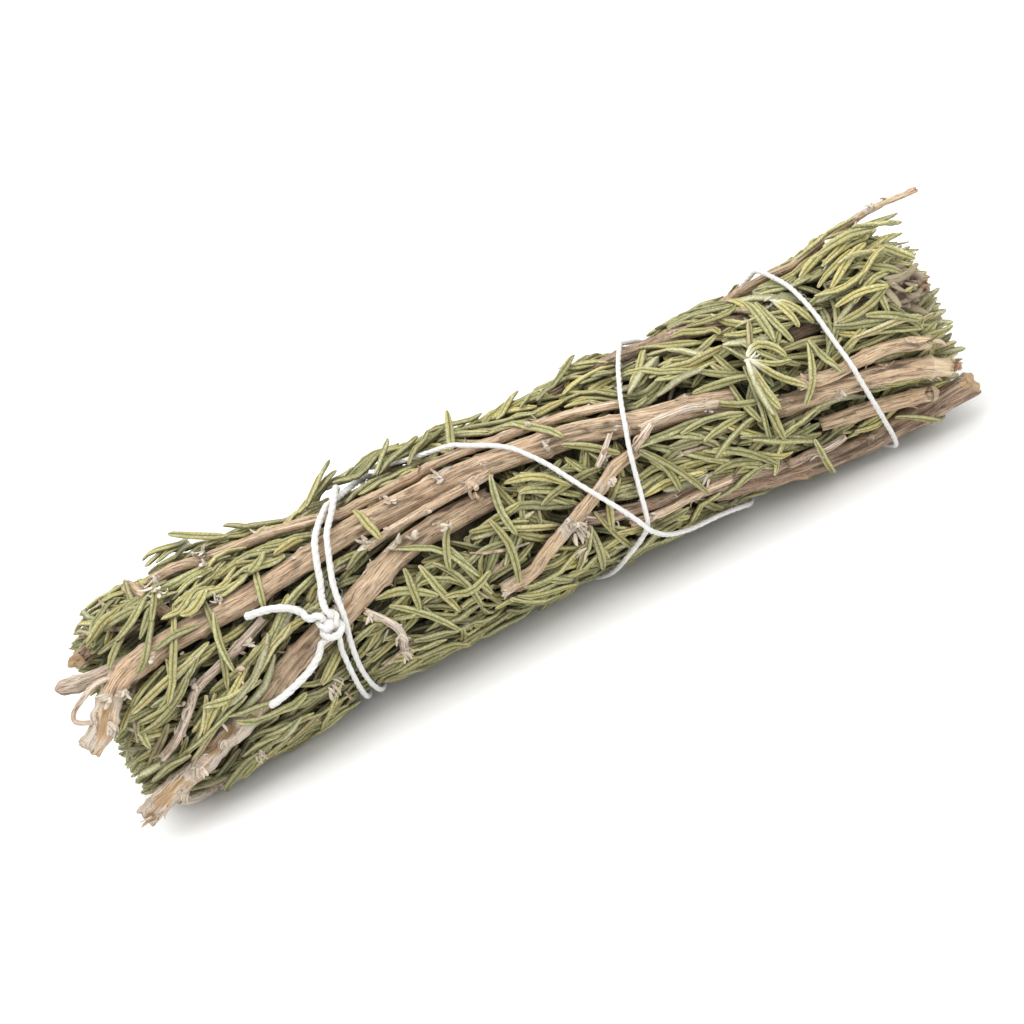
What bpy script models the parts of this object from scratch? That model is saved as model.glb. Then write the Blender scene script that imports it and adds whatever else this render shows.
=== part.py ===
"""Bundle of dried rosemary sprigs, tied with cotton string and lying on a surface.

The bundle's axis runs along X at AXIS_HEIGHT. A place on it is given as (x, clock, radius):
x and radius in millimetres, clock in degrees round the axis, 0 on top, 90 at the front (-Y),
180 underneath and 270 at the back.
"""

import math

import bmesh
import bpy
import numpy as np

# Driving dimensions, in millimetres unless said otherwise
AXIS_HEIGHT = 24.0
AXIS_ACROSS = 1.6  # the axis lies this far back, because the knot and its tails stand out at the front
CORE_RADIUS = 7.0  # the middle of the bundle, where only stems run
GAP = 0.35  # clear space between any two pieces
STEM_GAP = 1.4 * GAP  # left between the smooth lines of two stems, whose faceted rods come closer
STRING_GAP = 1.7 * GAP  # left between the string's line and what it lies on
LEAF_GAP = 2.2 * GAP  # left between a stem's line and the grid of the leaf surface
STRING_THICKNESS = 1.5
LEAF_ENDS = (-106.0, 107.0)
LEAF_SECTORS = 8
SECTOR_CELLS = 7  # cells of the leaf surface across one sector
LEAF_STATION = 6.0  # spacing of the leaf surface's rings along the axis
RADIAL_STEP = 0.4  # how finely the room below a stem is searched
THINNEST_LEAVES = 1.2  # what is left of the leaves over the core, below a deep stem
UNDERSIDE_RADIUS = 21.8  # where string crosses beneath, so that it stays off the surface
UNDERSIDE_CLOCK = 40.0  # degrees each side of straight down
UNDERSIDE_SPAN = (-56.0, 88.0)

# Radius of the leaf masses along the bundle: fanned ends, waists where the string pulls them in
LEAF_PROFILE = [
    (-106, 18.5), (-101, 23.5), (-92, 25.2), (-70, 25.0), (-60, 23.4), (-51, 21.0),
    (-38, 21.0), (-25, 21.6), (0, 21.4), (25, 21.4), (45, 21.8), (60, 22.6),
    (72, 21.8), (83, 21.6), (91, 24.6), (99, 24.6), (107, 18.5),
]

TAN, BROWN, GREY = "tan_bark", "brown_bark", "grey_bark"

# Woody stems and twigs, from the inside of the bundle outwards. Each has its bark, its thickness
# at both ends, and a route. Where one crosses an earlier one, it is lifted to lie on it.
STEMS = {
    "inner_stem_a": (BROWN, 4.2, 3.6, [
        (-111, 20, 3.9), (-60, 10, 3.6), (0, 0, 3.6), (60, 0, 3.6), (106, 350, 4.2)]),
    "inner_stem_b": (TAN, 3.8, 4.2, [
        (-107, 140, 4.0), (-60, 125, 3.6), (0, 120, 3.6), (60, 120, 3.6), (109, 112, 4.2)]),
    "inner_stem_c": (BROWN, 4.0, 3.4, [
        (-105, 255, 4.2), (-60, 245, 3.6), (0, 240, 3.6), (60, 240, 3.6), (104, 236, 4.0)]),
    "left_tip_stem": (GREY, 3.8, 3.4, [
        (-112, 26, 20.5), (-106, 29, 20), (-98, 29, 18.5), (-90, 28, 17), (-75, 24, 16), (-60, 18, 15.4)]),
    "left_brown_stem": (BROWN, 3.6, 3.2, [
        (-105, 13, 20.6), (-99, 4, 19.4), (-91, -4, 17.4), (-76, -12, 16)]),
    "under_stem": (BROWN, 4.6, 4.0, [
        (-105, 212, 20.4), (-70, 209, 19.4), (-20, 204, 18.2), (30, 205, 18.2), (70, 209, 19.2),
        (103, 213, 20.4)]),
    "back_lower_stem": (BROWN, 4.0, 5.0, [
        (-62, 236, 18.5), (-20, 233, 19.8), (20, 238, 19.6), (60, 242, 19.8), (85, 244, 20.8),
        (105, 246, 21.6)]),
    "back_middle_stem": (TAN, 4.6, 3.6, [
        (-98, 268, 22.4), (-80, 266, 21.8), (-55, 262, 20.2), (-20, 257, 20), (12, 262, 19.2),
        (40, 268, 17.5)]),
    "back_upper_stem": (TAN, 5.2, 4.2, [
        (-109, 298, 22), (-90, 300, 22), (-60, 294, 20.6), (-20, 288, 20.2), (20, 294, 20.2),
        (60, 301, 20.6), (96, 297, 21.6)]),
    "back_top_stem": (TAN, 4.4, 3.8, [
        (-72, 330, 19.4), (-40, 324, 19.6), (0, 318, 19.6), (40, 322, 19.6), (70, 331, 20),
        (100, 336, 21)]),
    "top_right_stem": (BROWN, 2.8, 3.2, [
        (14, 330, 18.8), (32, 336, 21.4), (45, 351, 21.6), (52, 356, 21.2), (64, 364, 19.4),
        (80, 368, 18.6)]),
    "dry_curl_stem": (BROWN, 3.4, 4.8, [
        (72, 30, 15), (84, 34, 16.2), (93, 39, 18), (99, 43, 20.2), (104, 48, 21.4)]),
    "lower_brown_stem": (BROWN, 3.0, 3.8, [
        (10, 87, 18.2), (15, 89, 19.6), (22, 94, 20.2), (29, 98, 20.2), (36, 99, 20), (43, 104, 20),
        (53, 114, 20.4), (60, 118, 20.6)]),
    "lower_right_stem": (BROWN, 4.2, 5.8, [
        (42, 124, 18.6), (50, 128, 20), (59, 132, 21.4), (67, 137, 22.3), (76, 139, 22.8), (86, 136, 23),
        (96, 132, 23.2), (107, 126, 23.4)]),
    "lower_left_stem": (TAN, 5.4, 5.8, [
        (-107, 129, 24.8), (-102, 120, 24.6), (-97, 115, 24), (-91, 112, 23.2), (-84, 106, 22),
        (-78, 101, 21.2), (-70, 90, 20.6), (-60, 78, 20), (-51, 70, 19.8), (-41, 60, 19.4), (-33, 51, 19),
        (-26, 45, 18.4), (-16, 41, 17), (-6, 39, 15.6)]),
    "right_thick_stem": (TAN, 4.6, 5.2, [
        (60, 78, 17.4), (67, 79, 19.6), (71, 79, 20.6), (76, 81, 21.4), (86, 86, 22), (96, 94, 22.2),
        (103, 105, 22.4)]),
    "main_stem": (TAN, 5.6, 6.0, [
        (-111, 68, 24.6), (-107, 63, 24.4), (-104, 55, 24), (-99, 44, 23.6), (-90, 37, 23), (-77, 33, 22),
        (-64, 30, 21.2), (-52, 26, 20.8), (-44, 22, 20.8), (-36, 20, 20.8), (-22, 20, 20.8),
        (-12, 20, 20.8), (-3, 22, 20.8), (8, 27, 20.6), (17, 31, 20.4), (26, 38, 20.2), (34, 45, 20),
        (43, 50, 19.6), (54, 59, 18.2)]),
    "right_branch": (TAN, 3.2, 3.4, [
        (68, 67, 20.8), (73, 70, 22), (77, 71, 22.4), (86, 71, 23), (92, 73, 23.8), (99, 79, 24)]),
    "right_low_stem": (TAN, 3.2, 3.8, [
        (70, 105, 19.4), (77, 105, 21.2), (84, 107, 22), (94, 115, 22.4), (97, 118, 22.6)]),
    "mid_branch": (TAN, 3.4, 3.0, [
        (-13, 101, 21.6), (-5, 98, 21.8), (-1, 91, 21.9), (8, 80, 21.8), (17, 69, 21.6), (22, 62, 21.2),
        (29, 59, 20)]),
    "upper_left_stub": (TAN, 3.4, 3.2, [
        (-88, -28, 24.8), (-87, -16, 24), (-85, -3, 21.6), (-82, 8, 18.6)]),
    "upper_stem": (TAN, 2.8, 2.2, [
        (-83, -24, 23.8), (-76, -26, 23.8), (-67, -12, 23.4), (-58, -11, 22.8), (-50, -6, 22.5),
        (-43, 0, 22.2), (-34, 9, 22), (-23, 6, 22.2), (-12, 11, 22.2), (0, 11, 22.2), (9, 13, 22),
        (17, 19, 22), (23, 23, 22), (30, 28, 21.4)]),
    "lower_thin_twig": (TAN, 2.0, 1.8, [
        (20, 98, 21.6), (26, 100, 22.6), (33, 100, 23), (39, 100, 23.2), (45, 101, 23.2)]),
    "lower_side_twig": (GREY, 2.2, 1.8, [
        (59, 112, 22.4), (64, 115, 22.6), (69, 118, 22.8), (74, 119, 22)]),
    "grey_twig": (GREY, 2.0, 2.4, [
        (-98, 95, 22.4), (-93, 88, 22), (-88, 76, 22), (-84, 66, 22), (-78, 61, 21.6), (-71, 55, 21),
        (-64, 47, 19.4)]),
    "pale_lower_twig": (GREY, 2.2, 2.6, [
        (-99, 129, 24.8), (-97, 140, 25), (-91, 147, 25), (-84, 147, 24.6), (-78, 143, 23.6),
        (-68, 136, 21.4)]),
    "woolly_twig": (GREY, 1.6, 2.0, [
        (-43, 70, 23.8), (-40, 79, 23.8), (-38, 90, 23.8), (-39, 105, 23.6)]),
    "over_twig": (TAN, 2.0, 2.4, [
        (-36, 39, 23.4), (-29, 36, 23.2), (-19, 34, 23), (-12, 33, 22.8), (-4, 32, 22.8)]),
    "poking_twig": (TAN, 2.2, 1.6, [
        (64, 338, 19.8), (75, 339, 20.6), (84, 343, 22.8), (92, 350, 25.6), (103, 363, 30),
        (112, 373, 33.4)]),
}
TAPER_END = 0.82  # share of its thickness that a stem keeps at a broken or cut end
ROUTE_STEP = 1.0  # spacing at which a stem's route is worked out
STEM_STEP = 7.5  # spacing of a stem's rings
ROUND_BEVEL = 2  # gives eight sides
THIN_STEM = 3.0  # below this thickness six sides are enough
LIFT_SLOPE = 0.3  # how steeply a stem rises to pass over another
CURVE_READINGS = 24  # readings of a smooth curve between two of its points

# The string's route from the knot, up the front, over and round, as (x, clock): clock falls as it winds
WINDING = [
    (-50.9, 55), (-49.1, 45), (-47.6, 33), (-45.2, 20), (-41.8, 8), (-37, -5), (-31, -25),
    (-23, -54), (-14, -90), (-6, -125), (2, -160), (9, -195), (15, -228), (20, -247), (23, -262),
    (24.5, -280), (26, -300), (28.5, -320), (32, -343), (36.5, -370), (43, -400), (50, -435),
    (58, -470), (67, -510), (76, -545), (83, -568), (85, -585), (83, -610), (80.5, -640),
    (79.3, -664), (78.8, -682), (78, -700), (77, -718), (75, -738), (70.5, -765), (65, -800),
    (60, -838), (56, -875), (52, -908), (48, -936), (41, -949), (33, -955), (27, -965),
    (23, -979), (19.5, -993), (13, -1017), (7.5, -1040), (1, -1057), (-9, -1071), (-19.5, -1093),
    (-28, -1128), (-34, -1164), (-38.5, -1200), (-42, -1235), (-45.2, -1272), (-48, -1308),
    (-49.4, -1335), (-49, -1356), (-47.8, -1373), (-46.8, -1390), (-44.9, -1405), (-42.6, -1418),
    (-39.4, -1430), (-36.4, -1444), (-35.4, -1465), (-37, -1500), (-40.6, -1545), (-45, -1590),
    (-48.8, -1628), (-51, -1665), (-51.7, -1696), (-51.4, -1721),
]
KNOT_PLACE = (-51.4, 67.0)
# One half of the knot as (along the bundle, up the string, height). The other half is its mirror
# image below, with the heights reversed, so that each is a loop that passes through the other.
KNOT_LOOP = [
    (-3.6, 3.2, 0.4), (-2.0, 3.0, 0.8), (-0.9, 2.2, 1.0), (-1.4, 0.1, -1.0), (-2.2, -1.3, 0.0),
    (-1.3, -2.4, 1.0), (0.0, -2.7, 1.1), (1.3, -2.4, 1.0), (2.2, -1.3, 0.0), (1.4, 0.1, -1.0),
    (0.9, 2.2, 1.0), (0.6, 3.8, 0.4),
]
UPPER_TAIL = [(-67.5, 45), (-63, 46), (-60, 48), (-57.5, 51), (-55.8, 55)]
LOWER_TAIL = [(-56.6, 79), (-59.5, 83), (-63.5, 86), (-67.5, 88), (-71.5, 89)]
TAIL_LIFT = 0.8  # how far the tails stand off what they lie over
STRING_STEP = 2.0  # spacing at which the string's route is worked out
CLOCK_SHARE = 0.4  # millimetres round the bundle for each degree of clock
QUARTER_TURN = 90
TIGHTENING = 260  # rounds of pulling, enough to straighten the longest bridge
TUBE_STEP = 4.4  # spacing of the string's rings where it runs straight
KNOT_STEP = 1.1
KNOT_REACH = 5.0  # from the knot's middle, where its rings are close
KNOT_LIFT = 1.1  # how far the knot's middle stands off what it lies on

SHARP_ANGLE = math.radians(50)
BARK_COLOURS = {TAN: (0.46, 0.33, 0.22), BROWN: (0.30, 0.20, 0.13), GREY: (0.42, 0.37, 0.31)}
LEAF_COLOUR = (0.22, 0.22, 0.10)
STRING_COLOUR = (0.85, 0.84, 0.80)


# ---------------------------------------------------------------- geometry helpers

def to_space(places):
    """(x, clock, radius) rows in millimetres and degrees to points in millimetres."""
    x, clock, radius = np.asarray(places, float).T
    turn = np.radians(clock)
    return np.stack([x, AXIS_ACROSS - radius * np.sin(turn), AXIS_HEIGHT + radius * np.cos(turn)], 1)


def to_places(points):
    """Points in millimetres to (x, clock, radius) rows."""
    x, y, up = points[:, 0], AXIS_ACROSS - points[:, 1], points[:, 2] - AXIS_HEIGHT
    return np.stack([x, np.degrees(np.arctan2(y, up)), np.hypot(y, up)], 1)


def smooth_line(points, step):
    """A Catmull-Rom curve through the points, read about every step of its length."""
    points = np.asarray(points, float)
    ends = np.vstack([2 * points[0] - points[1], points, 2 * points[-1] - points[-2]])
    fine = []
    for a, b, c, d in zip(ends[:-3], ends[1:-2], ends[2:-1], ends[3:]):
        t = np.linspace(0, 1, CURVE_READINGS, endpoint=False)[:, None]
        fine.append(0.5 * (2 * b + (c - a) * t + (2 * a - 5 * b + 4 * c - d) * t**2
                           + (3 * b - a - 3 * c + d) * t**3))
    return even_line(np.vstack(fine + [points[-1:]]), step)


def even_line(points, step):
    """The same line with its points spaced evenly, about a step apart."""
    run = np.concatenate([[0], np.cumsum(np.linalg.norm(np.diff(points, axis=0), axis=1))])
    count = max(2, round(run[-1] / step) + 1)
    wanted = np.linspace(0, run[-1], count)
    return np.stack([np.interp(wanted, run, points[:, k]) for k in range(points.shape[1])], 1)


def clearance_radius(places, line, reach):
    """For each place, the least radius from the axis that keeps it `reach` from the line."""
    spots = to_places(line)
    reach = np.broadcast_to(reach, len(line))
    needed = np.zeros(len(places))
    for i, (x, clock, _) in enumerate(places):
        near = np.abs(spots[:, 0] - x) < reach
        if not near.any():
            continue
        dx = spots[near, 0] - x
        turn = np.radians(spots[near, 1] - clock)
        across = spots[near, 2] * np.sin(turn)
        left = reach[near]**2 - dx**2 - across**2
        hit = (left > 0) & (np.cos(turn) > 0)
        if hit.any():
            needed[i] = (spots[near, 2] * np.cos(turn) + np.sqrt(np.maximum(left, 0)))[hit].max()
    return needed


# ---------------------------------------------------------------- the stems' routes

def lift_over(places, needed):
    """Raises places to the needed radii, with a slope before and after each crossing."""
    lift = np.maximum(needed - places[:, 2], 0)
    if lift.max() <= 0:
        return places
    run = np.concatenate([[0], np.cumsum(np.linalg.norm(np.diff(to_space(places), axis=0), axis=1))])
    tents = lift[None, :] - LIFT_SLOPE * np.abs(run[:, None] - run[None, :])
    raised = places.copy()
    raised[:, 2] += np.maximum(tents.max(axis=1), 0)
    return raised


def settled_stems():
    """name: (line in millimetres, half thickness at each point), each stem clear of those before it."""
    done = {}
    for name, (_, first, last, route) in STEMS.items():
        line = smooth_line(to_space(route), ROUTE_STEP)
        half = np.linspace(first, last, len(line)) / 2
        places = to_places(line)
        needed = np.zeros(len(places))
        for other, (other_line, other_half) in done.items():
            if other.startswith("inner"):
                continue
            reach = half.max() + other_half + STEM_GAP
            outer = clearance_radius(places, other_line, reach)
            crosses = outer - places[:, 2] < reach.mean()  # one that lies far below stays below
            needed = np.where(crosses, np.maximum(needed, outer), needed)
        done[name] = (to_space(lift_over(places, needed)), half)
    return done


# ---------------------------------------------------------------- the leaf masses

def leaf_radius(x, clock):
    """Outer radius of the leaf masses before the stems are let in, kept above the surface below."""
    stations, radii = zip(*LEAF_PROFILE)
    radius = np.interp(x, stations, radii)
    down = np.abs((np.asarray(clock, float) + 180) % 360 - 180)  # 180 straight down
    under = (down > 180 - UNDERSIDE_CLOCK) & (x > UNDERSIDE_SPAN[0]) & (x < UNDERSIDE_SPAN[1])
    radius = np.where(under, np.minimum(radius, UNDERSIDE_RADIUS), radius)
    fall = -np.cos(np.radians(down))
    floor_limit = AXIS_HEIGHT / np.maximum(fall, 1e-6)
    return np.where(fall > 0, np.minimum(radius, floor_limit), radius)


def carved_radii(xs, clocks, stems):
    """Leaf radius over a grid, let in to lie beneath every stem and twig."""
    outer = leaf_radius(xs[:, None], clocks[None, :])
    steps = np.arange(CORE_RADIUS + THINNEST_LEAVES + RADIAL_STEP, outer.max() + 1, RADIAL_STEP)
    free = np.empty_like(outer)
    for i, x in enumerate(xs):
        grid = np.stack(np.broadcast_arrays(x, clocks[:, None], steps[None, :]), -1)
        spots = to_space(grid.reshape(-1, 3)).reshape(grid.shape)
        blocked = np.zeros(spots.shape[:2], bool)
        for name, (line, half) in stems.items():
            near = np.abs(line[:, 0] - x) < LEAF_STATION
            if name.startswith("inner") or not near.any():
                continue
            apart = np.linalg.norm(spots[:, :, None, :] - line[near], axis=-1)
            blocked |= (apart - half[near]).min(axis=2) < LEAF_GAP
        first = np.where(blocked.any(axis=1), steps[blocked.argmax(axis=1)] - RADIAL_STEP, np.inf)
        free[i] = np.minimum(outer[i], np.maximum(first, CORE_RADIUS + THINNEST_LEAVES))
    carved = free.copy()
    for along in (-1, 0, 1):
        for around in (-1, 0, 1):
            shifted = np.roll(free, around, axis=1)
            rows = np.clip(np.arange(len(xs)) + along, 0, len(xs) - 1)
            neighbour = shifted[rows]
            let_in = neighbour < np.roll(outer, around, axis=1)[rows]
            carved = np.where(let_in, np.minimum(carved, neighbour), carved)
    return carved


def leaf_sector(name, xs, clocks, radii, material):
    """One eighth of the leaves: a loft of ring sections between two flat sides and round the core."""
    half_gap = GAP / 2
    first, last = math.radians(clocks[0]), math.radians(clocks[-1])
    build = bmesh.new()
    rings = []
    for i, x in enumerate(xs):
        section = []
        for j, clock in enumerate(clocks):
            turn = math.radians(clock)
            if j == 0:
                turn += math.asin(half_gap / radii[i, j])
            if j == len(clocks) - 1:
                turn -= math.asin(half_gap / radii[i, j])
            section.append((turn, radii[i, j]))
        inset = math.asin(half_gap / CORE_RADIUS)
        section.append((last - inset, CORE_RADIUS))
        section.append(((first + last) / 2, CORE_RADIUS))
        section.append((first + inset, CORE_RADIUS))
        space = to_space([(x, math.degrees(turn), radius) for turn, radius in section]) / 1000
        rings.append([build.verts.new(point) for point in space])
    count = len(rings[0])
    for ring, after in zip(rings, rings[1:]):
        for k in range(count):
            m = (k + 1) % count
            build.faces.new((ring[k], ring[m], after[m], after[k]))
    build.faces.new(rings[0])
    build.faces.new(rings[-1][::-1])
    bmesh.ops.recalc_face_normals(build, faces=build.faces)
    bmesh.ops.triangulate(build, faces=build.faces)
    mesh = bpy.data.meshes.new(name)
    build.to_mesh(mesh)
    build.free()
    mesh.materials.append(material)
    return bpy.data.objects.new(name, mesh)


# ---------------------------------------------------------------- the string's route

def string_line(stems):
    """The whole string as a line in millimetres, with the spacing that its tube needs along it."""
    laid = smooth_line([(x, clock * CLOCK_SHARE) for x, clock in WINDING], STRING_STEP)
    laid = np.column_stack([laid[:, 0], laid[:, 1] / CLOCK_SHARE])
    base = surface_radii(laid, stems)
    winding = taut(laid, base)
    knot_base = surface_radii(np.array([KNOT_PLACE]), stems)[0] + KNOT_LIFT
    knot_base = max(knot_base, winding[:3, 2].max(), winding[-3:, 2].max())
    rising = knot_half(knot_base, 1)
    falling = knot_half(knot_base, -1)[::-1]
    start = tail(UPPER_TAIL, stems)
    finish = tail(LOWER_TAIL, stems)
    space = to_space(winding)
    route = np.vstack([start, rising, space[1:-1], falling, finish])
    fine = smooth_line(route, KNOT_STEP / 2)
    knot_middle = to_space([(KNOT_PLACE[0], KNOT_PLACE[1], knot_base)])[0]
    return spaced_for_tube(fine, knot_middle)


def surface_radii(laid, stems):
    """Radius at which the string's centre lies on the leaves or the stems below it."""
    reach = STRING_THICKNESS / 2 + STRING_GAP
    radii = leaf_radius(laid[:, 0], laid[:, 1]) + reach
    places = np.column_stack([laid, radii])
    for line, half in stems.values():
        radii = np.maximum(radii, clearance_radius(places, line, reach + half))
    return radii


def taut(laid, base):
    """Pulls the string tight: it bridges hollows, and each turn lies over the turns before it."""
    clock = laid[:, 1]
    allowed = base.copy()
    radii = base.copy()
    for _ in range(2):
        for start in np.arange(clock[0], clock[-1], -QUARTER_TURN):
            now = (clock <= start) & (clock > start - QUARTER_TURN)
            earlier = clock >= start + 2.2 * QUARTER_TURN
            if earlier.any():
                places = np.column_stack([laid, radii])
                below = even_line(to_space(places[earlier]), STRING_STEP / 2)
                over = clearance_radius(places[now], below, STRING_THICKNESS + STRING_GAP)
                allowed[now] = np.maximum(base[now], over)
            radii = tightened(laid, allowed)
    return np.column_stack([laid, radii])


def tightened(laid, allowed):
    """Radii of a tight string that may lie no lower than allowed."""
    radii = allowed.copy()
    for _ in range(TIGHTENING):
        space = to_space(np.column_stack([laid, radii]))
        middle = to_places((space[:-2] + space[2:]) / 2)[:, 2]
        radii[1:-1] = np.maximum(allowed[1:-1], middle)
    return radii


def knot_half(base_radius, side):
    """The knot's loop on the bundle: side 1 opens upwards, -1 downwards."""
    x, clock = KNOT_PLACE
    per_mm = math.degrees(1 / base_radius)
    places = [(x + along, clock - side * up * per_mm, base_radius + side * height)
              for along, up, height in KNOT_LOOP]
    return to_space(places)


def tail(route, stems):
    """A loose end: it lies over what is below it, a little clear of it."""
    laid = smooth_line(route, STRING_STEP)
    lifted = surface_radii(laid, stems) + TAIL_LIFT
    run = np.arange(len(laid)) * STRING_STEP
    bridge = (lifted[None, :] - LIFT_SLOPE * np.abs(run[:, None] - run[None, :])).max(axis=1)
    return to_space(np.column_stack([laid, bridge]))


def spaced_for_tube(line, knot_middle):
    """Keeps points close together in the knot and further apart elsewhere."""
    kept = [0]
    run = np.concatenate([[0], np.cumsum(np.linalg.norm(np.diff(line, axis=0), axis=1))])
    for i in range(1, len(line) - 1):
        in_knot = np.linalg.norm(line[i] - knot_middle) < KNOT_REACH
        if run[i] - run[kept[-1]] >= (KNOT_STEP if in_knot else TUBE_STEP):
            kept.append(i)
    return line[kept + [len(line) - 1]]


# ---------------------------------------------------------------- objects and materials

def finish(name, colour, roughness):
    material = bpy.data.materials.new(name)
    material.use_nodes = True
    shader = material.node_tree.nodes["Principled BSDF"]
    shader.inputs["Base Color"].default_value = (*colour, 1)
    shader.inputs["Roughness"].default_value = roughness
    shader.inputs["Metallic"].default_value = 0
    return material


def rod(name, line, half, bevel_resolution, material):
    """A round rod along the line, as a bevelled curve with filled caps, made a mesh."""
    curve = bpy.data.curves.new(name + "_curve", "CURVE")
    curve.dimensions = "3D"
    curve.bevel_depth = 0.001
    curve.bevel_resolution = bevel_resolution
    curve.use_fill_caps = True
    spline = curve.splines.new("POLY")
    spline.points.add(len(line) - 1)
    spline.points.foreach_set("co", np.column_stack([line / 1000, np.ones(len(line))]).ravel())
    spline.points.foreach_set("radius", half)
    guide = bpy.data.objects.new(name + "_guide", curve)
    bpy.context.scene.collection.objects.link(guide)
    graph = bpy.context.evaluated_depsgraph_get()
    mesh = bpy.data.meshes.new_from_object(guide.evaluated_get(graph))
    weld = bmesh.new()
    weld.from_mesh(mesh)
    bmesh.ops.remove_doubles(weld, verts=weld.verts, dist=1e-6)
    weld.to_mesh(mesh)
    weld.free()
    bpy.data.objects.remove(guide)
    mesh.shade_smooth()
    mesh.set_sharp_from_angle(angle=SHARP_ANGLE)
    mesh.materials.clear()
    mesh.materials.append(material)
    mesh.name = name
    return bpy.data.objects.new(name, mesh)


def stem_object(name, line, half, material):
    """A stem's rod: its ends narrow a little, as a cut or broken twig's do."""
    rings = max(6, round(len(line) * ROUTE_STEP / STEM_STEP))
    pick = np.unique(np.linspace(0, len(line) - 1, rings).round().astype(int))
    pick = np.unique(np.concatenate([pick, [2, len(line) - 3]]))
    width = half[pick].copy()
    width[[0, -1]] *= TAPER_END
    thick = 2 * half.max()
    return rod(name, line[pick], width, ROUND_BEVEL if thick >= THIN_STEM else ROUND_BEVEL - 1, material)


def sector_names():
    return ["leaves_top", "leaves_top_front", "leaves_front", "leaves_under_front",
            "leaves_underneath", "leaves_under_back", "leaves_back", "leaves_top_back"]


def main():
    for obj in list(bpy.data.objects):
        bpy.data.objects.remove(obj, do_unlink=True)
    bundle = bpy.data.collections.new("rosemary_bundle")
    bpy.context.scene.collection.children.link(bundle)

    barks = {name: finish(name, colour, 0.85) for name, colour in BARK_COLOURS.items()}
    leaves = finish("dried_leaves", LEAF_COLOUR, 0.7)
    cotton = finish("cotton_string", STRING_COLOUR, 0.95)

    stems = settled_stems()
    for name, (line, half) in stems.items():
        bundle.objects.link(stem_object(name, line, half, barks[STEMS[name][0]]))

    xs = np.linspace(*LEAF_ENDS, round((LEAF_ENDS[1] - LEAF_ENDS[0]) / LEAF_STATION) + 1)
    width = 360 / LEAF_SECTORS
    clocks = np.arange(LEAF_SECTORS * SECTOR_CELLS) * width / SECTOR_CELLS - width / 2
    radii = carved_radii(xs, clocks, stems)
    for k, name in enumerate(sector_names()):
        columns = np.arange(k * SECTOR_CELLS, (k + 1) * SECTOR_CELLS + 1)
        sector_clocks = columns * width / SECTOR_CELLS - width / 2
        sector_radii = radii[:, columns % len(clocks)]
        bundle.objects.link(leaf_sector(name, xs, sector_clocks, sector_radii, leaves))

    line = string_line(stems)
    half = np.full(len(line), STRING_THICKNESS / 2)
    bundle.objects.link(rod("string", line, half, ROUND_BEVEL, cotton))


main()
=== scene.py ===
import math
import bpy
import numpy as np
from mathutils import Matrix, Vector


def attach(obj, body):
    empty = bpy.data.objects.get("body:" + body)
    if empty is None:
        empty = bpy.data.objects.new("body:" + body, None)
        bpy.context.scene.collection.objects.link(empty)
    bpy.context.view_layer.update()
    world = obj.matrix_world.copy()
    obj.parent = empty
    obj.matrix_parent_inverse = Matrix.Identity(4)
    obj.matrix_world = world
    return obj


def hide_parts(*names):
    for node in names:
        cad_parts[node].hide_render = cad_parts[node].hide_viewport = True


# Dried rosemary sprigs tied with cotton string, lying on a pale floor.
# The bundle's axis runs along x. A place on it is (x, clock, radius): x and radius in millimetres,
# clock in degrees round the axis, 0 on top, 90 at the front (-y), 180 underneath, 270 at the back.

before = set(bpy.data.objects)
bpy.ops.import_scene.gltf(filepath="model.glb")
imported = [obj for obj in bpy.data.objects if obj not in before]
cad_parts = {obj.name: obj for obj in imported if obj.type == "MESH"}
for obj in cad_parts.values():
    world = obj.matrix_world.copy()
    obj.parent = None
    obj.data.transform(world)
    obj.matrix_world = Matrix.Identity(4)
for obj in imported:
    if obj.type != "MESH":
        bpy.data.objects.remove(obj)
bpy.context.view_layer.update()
mm = 0.001
bundle = {
    "axisHeight": 24.0,  # the axis above the floor
    "axisAcross": 1.6,  # and how far it lies behind the frame's middle
    "coreRadius": 14.0,  # hidden middle, in the dark below the needles
    "gap": 0.35,
    "low": (-114.5, -27.0, 0.02),  # the box that all needles and flakes stay in, pressed flat at its sides
    "high": (114.5, 26.9, 57.8),
    "seed": 11,
}
rng = np.random.default_rng(bundle["seed"])
tiny = 1e-6  # keeps a division clear of nought


# Places to points: y and z turn round the axis by the clock
def toSpace(places):
    places = np.asarray(places, float)
    x, clock, radius = places[..., 0], np.radians(places[..., 1]), places[..., 2]
    across = bundle["axisAcross"] - radius * np.sin(clock)
    return np.stack([x, across, bundle["axisHeight"] + radius * np.cos(clock)], -1)


# Points back to places: the clock is the angle from straight up towards the front
def toPlaces(points):
    across = bundle["axisAcross"] - points[..., 1]
    up = points[..., 2] - bundle["axisHeight"]
    return np.stack([points[..., 0], np.degrees(np.arctan2(across, up)), np.hypot(across, up)], -1)


# The direction straight out from the axis at each clock: up turned towards the front by the clock
def outwardAt(clock):
    clock = np.radians(clock)
    return np.stack([0 * clock, -np.sin(clock), np.cos(clock)], -1)


# Vectors divided by their length
def unit(vectors):
    return vectors / np.maximum(np.linalg.norm(vectors, axis=-1, keepdims=True), tiny)


# Three directions at a place: along the bundle, round it and outwards, from a small step each way
def directionsAt(x, clock, radius):
    point, ahead, turned, above = toSpace([(x, clock, radius), (x + 1, clock, radius),
                                           (x, clock + 2, radius), (x, clock, radius + 1)])
    return point, np.stack([ahead - point, unit(turned - point), above - point])


# The length from a line's first point to each of its points: the sum of the steps so far
def runAlong(points):
    return np.concatenate([[0], np.cumsum(np.linalg.norm(np.diff(points, axis=0), axis=1))])


# The same line with even spacing: each column read off against the length run so far
def evenLine(points, step):
    run = runAlong(points)
    wanted = np.linspace(0, run[-1], max(2, round(run[-1] / step) + 1))
    return np.stack([np.interp(wanted, run, column) for column in points.T], 1)


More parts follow.
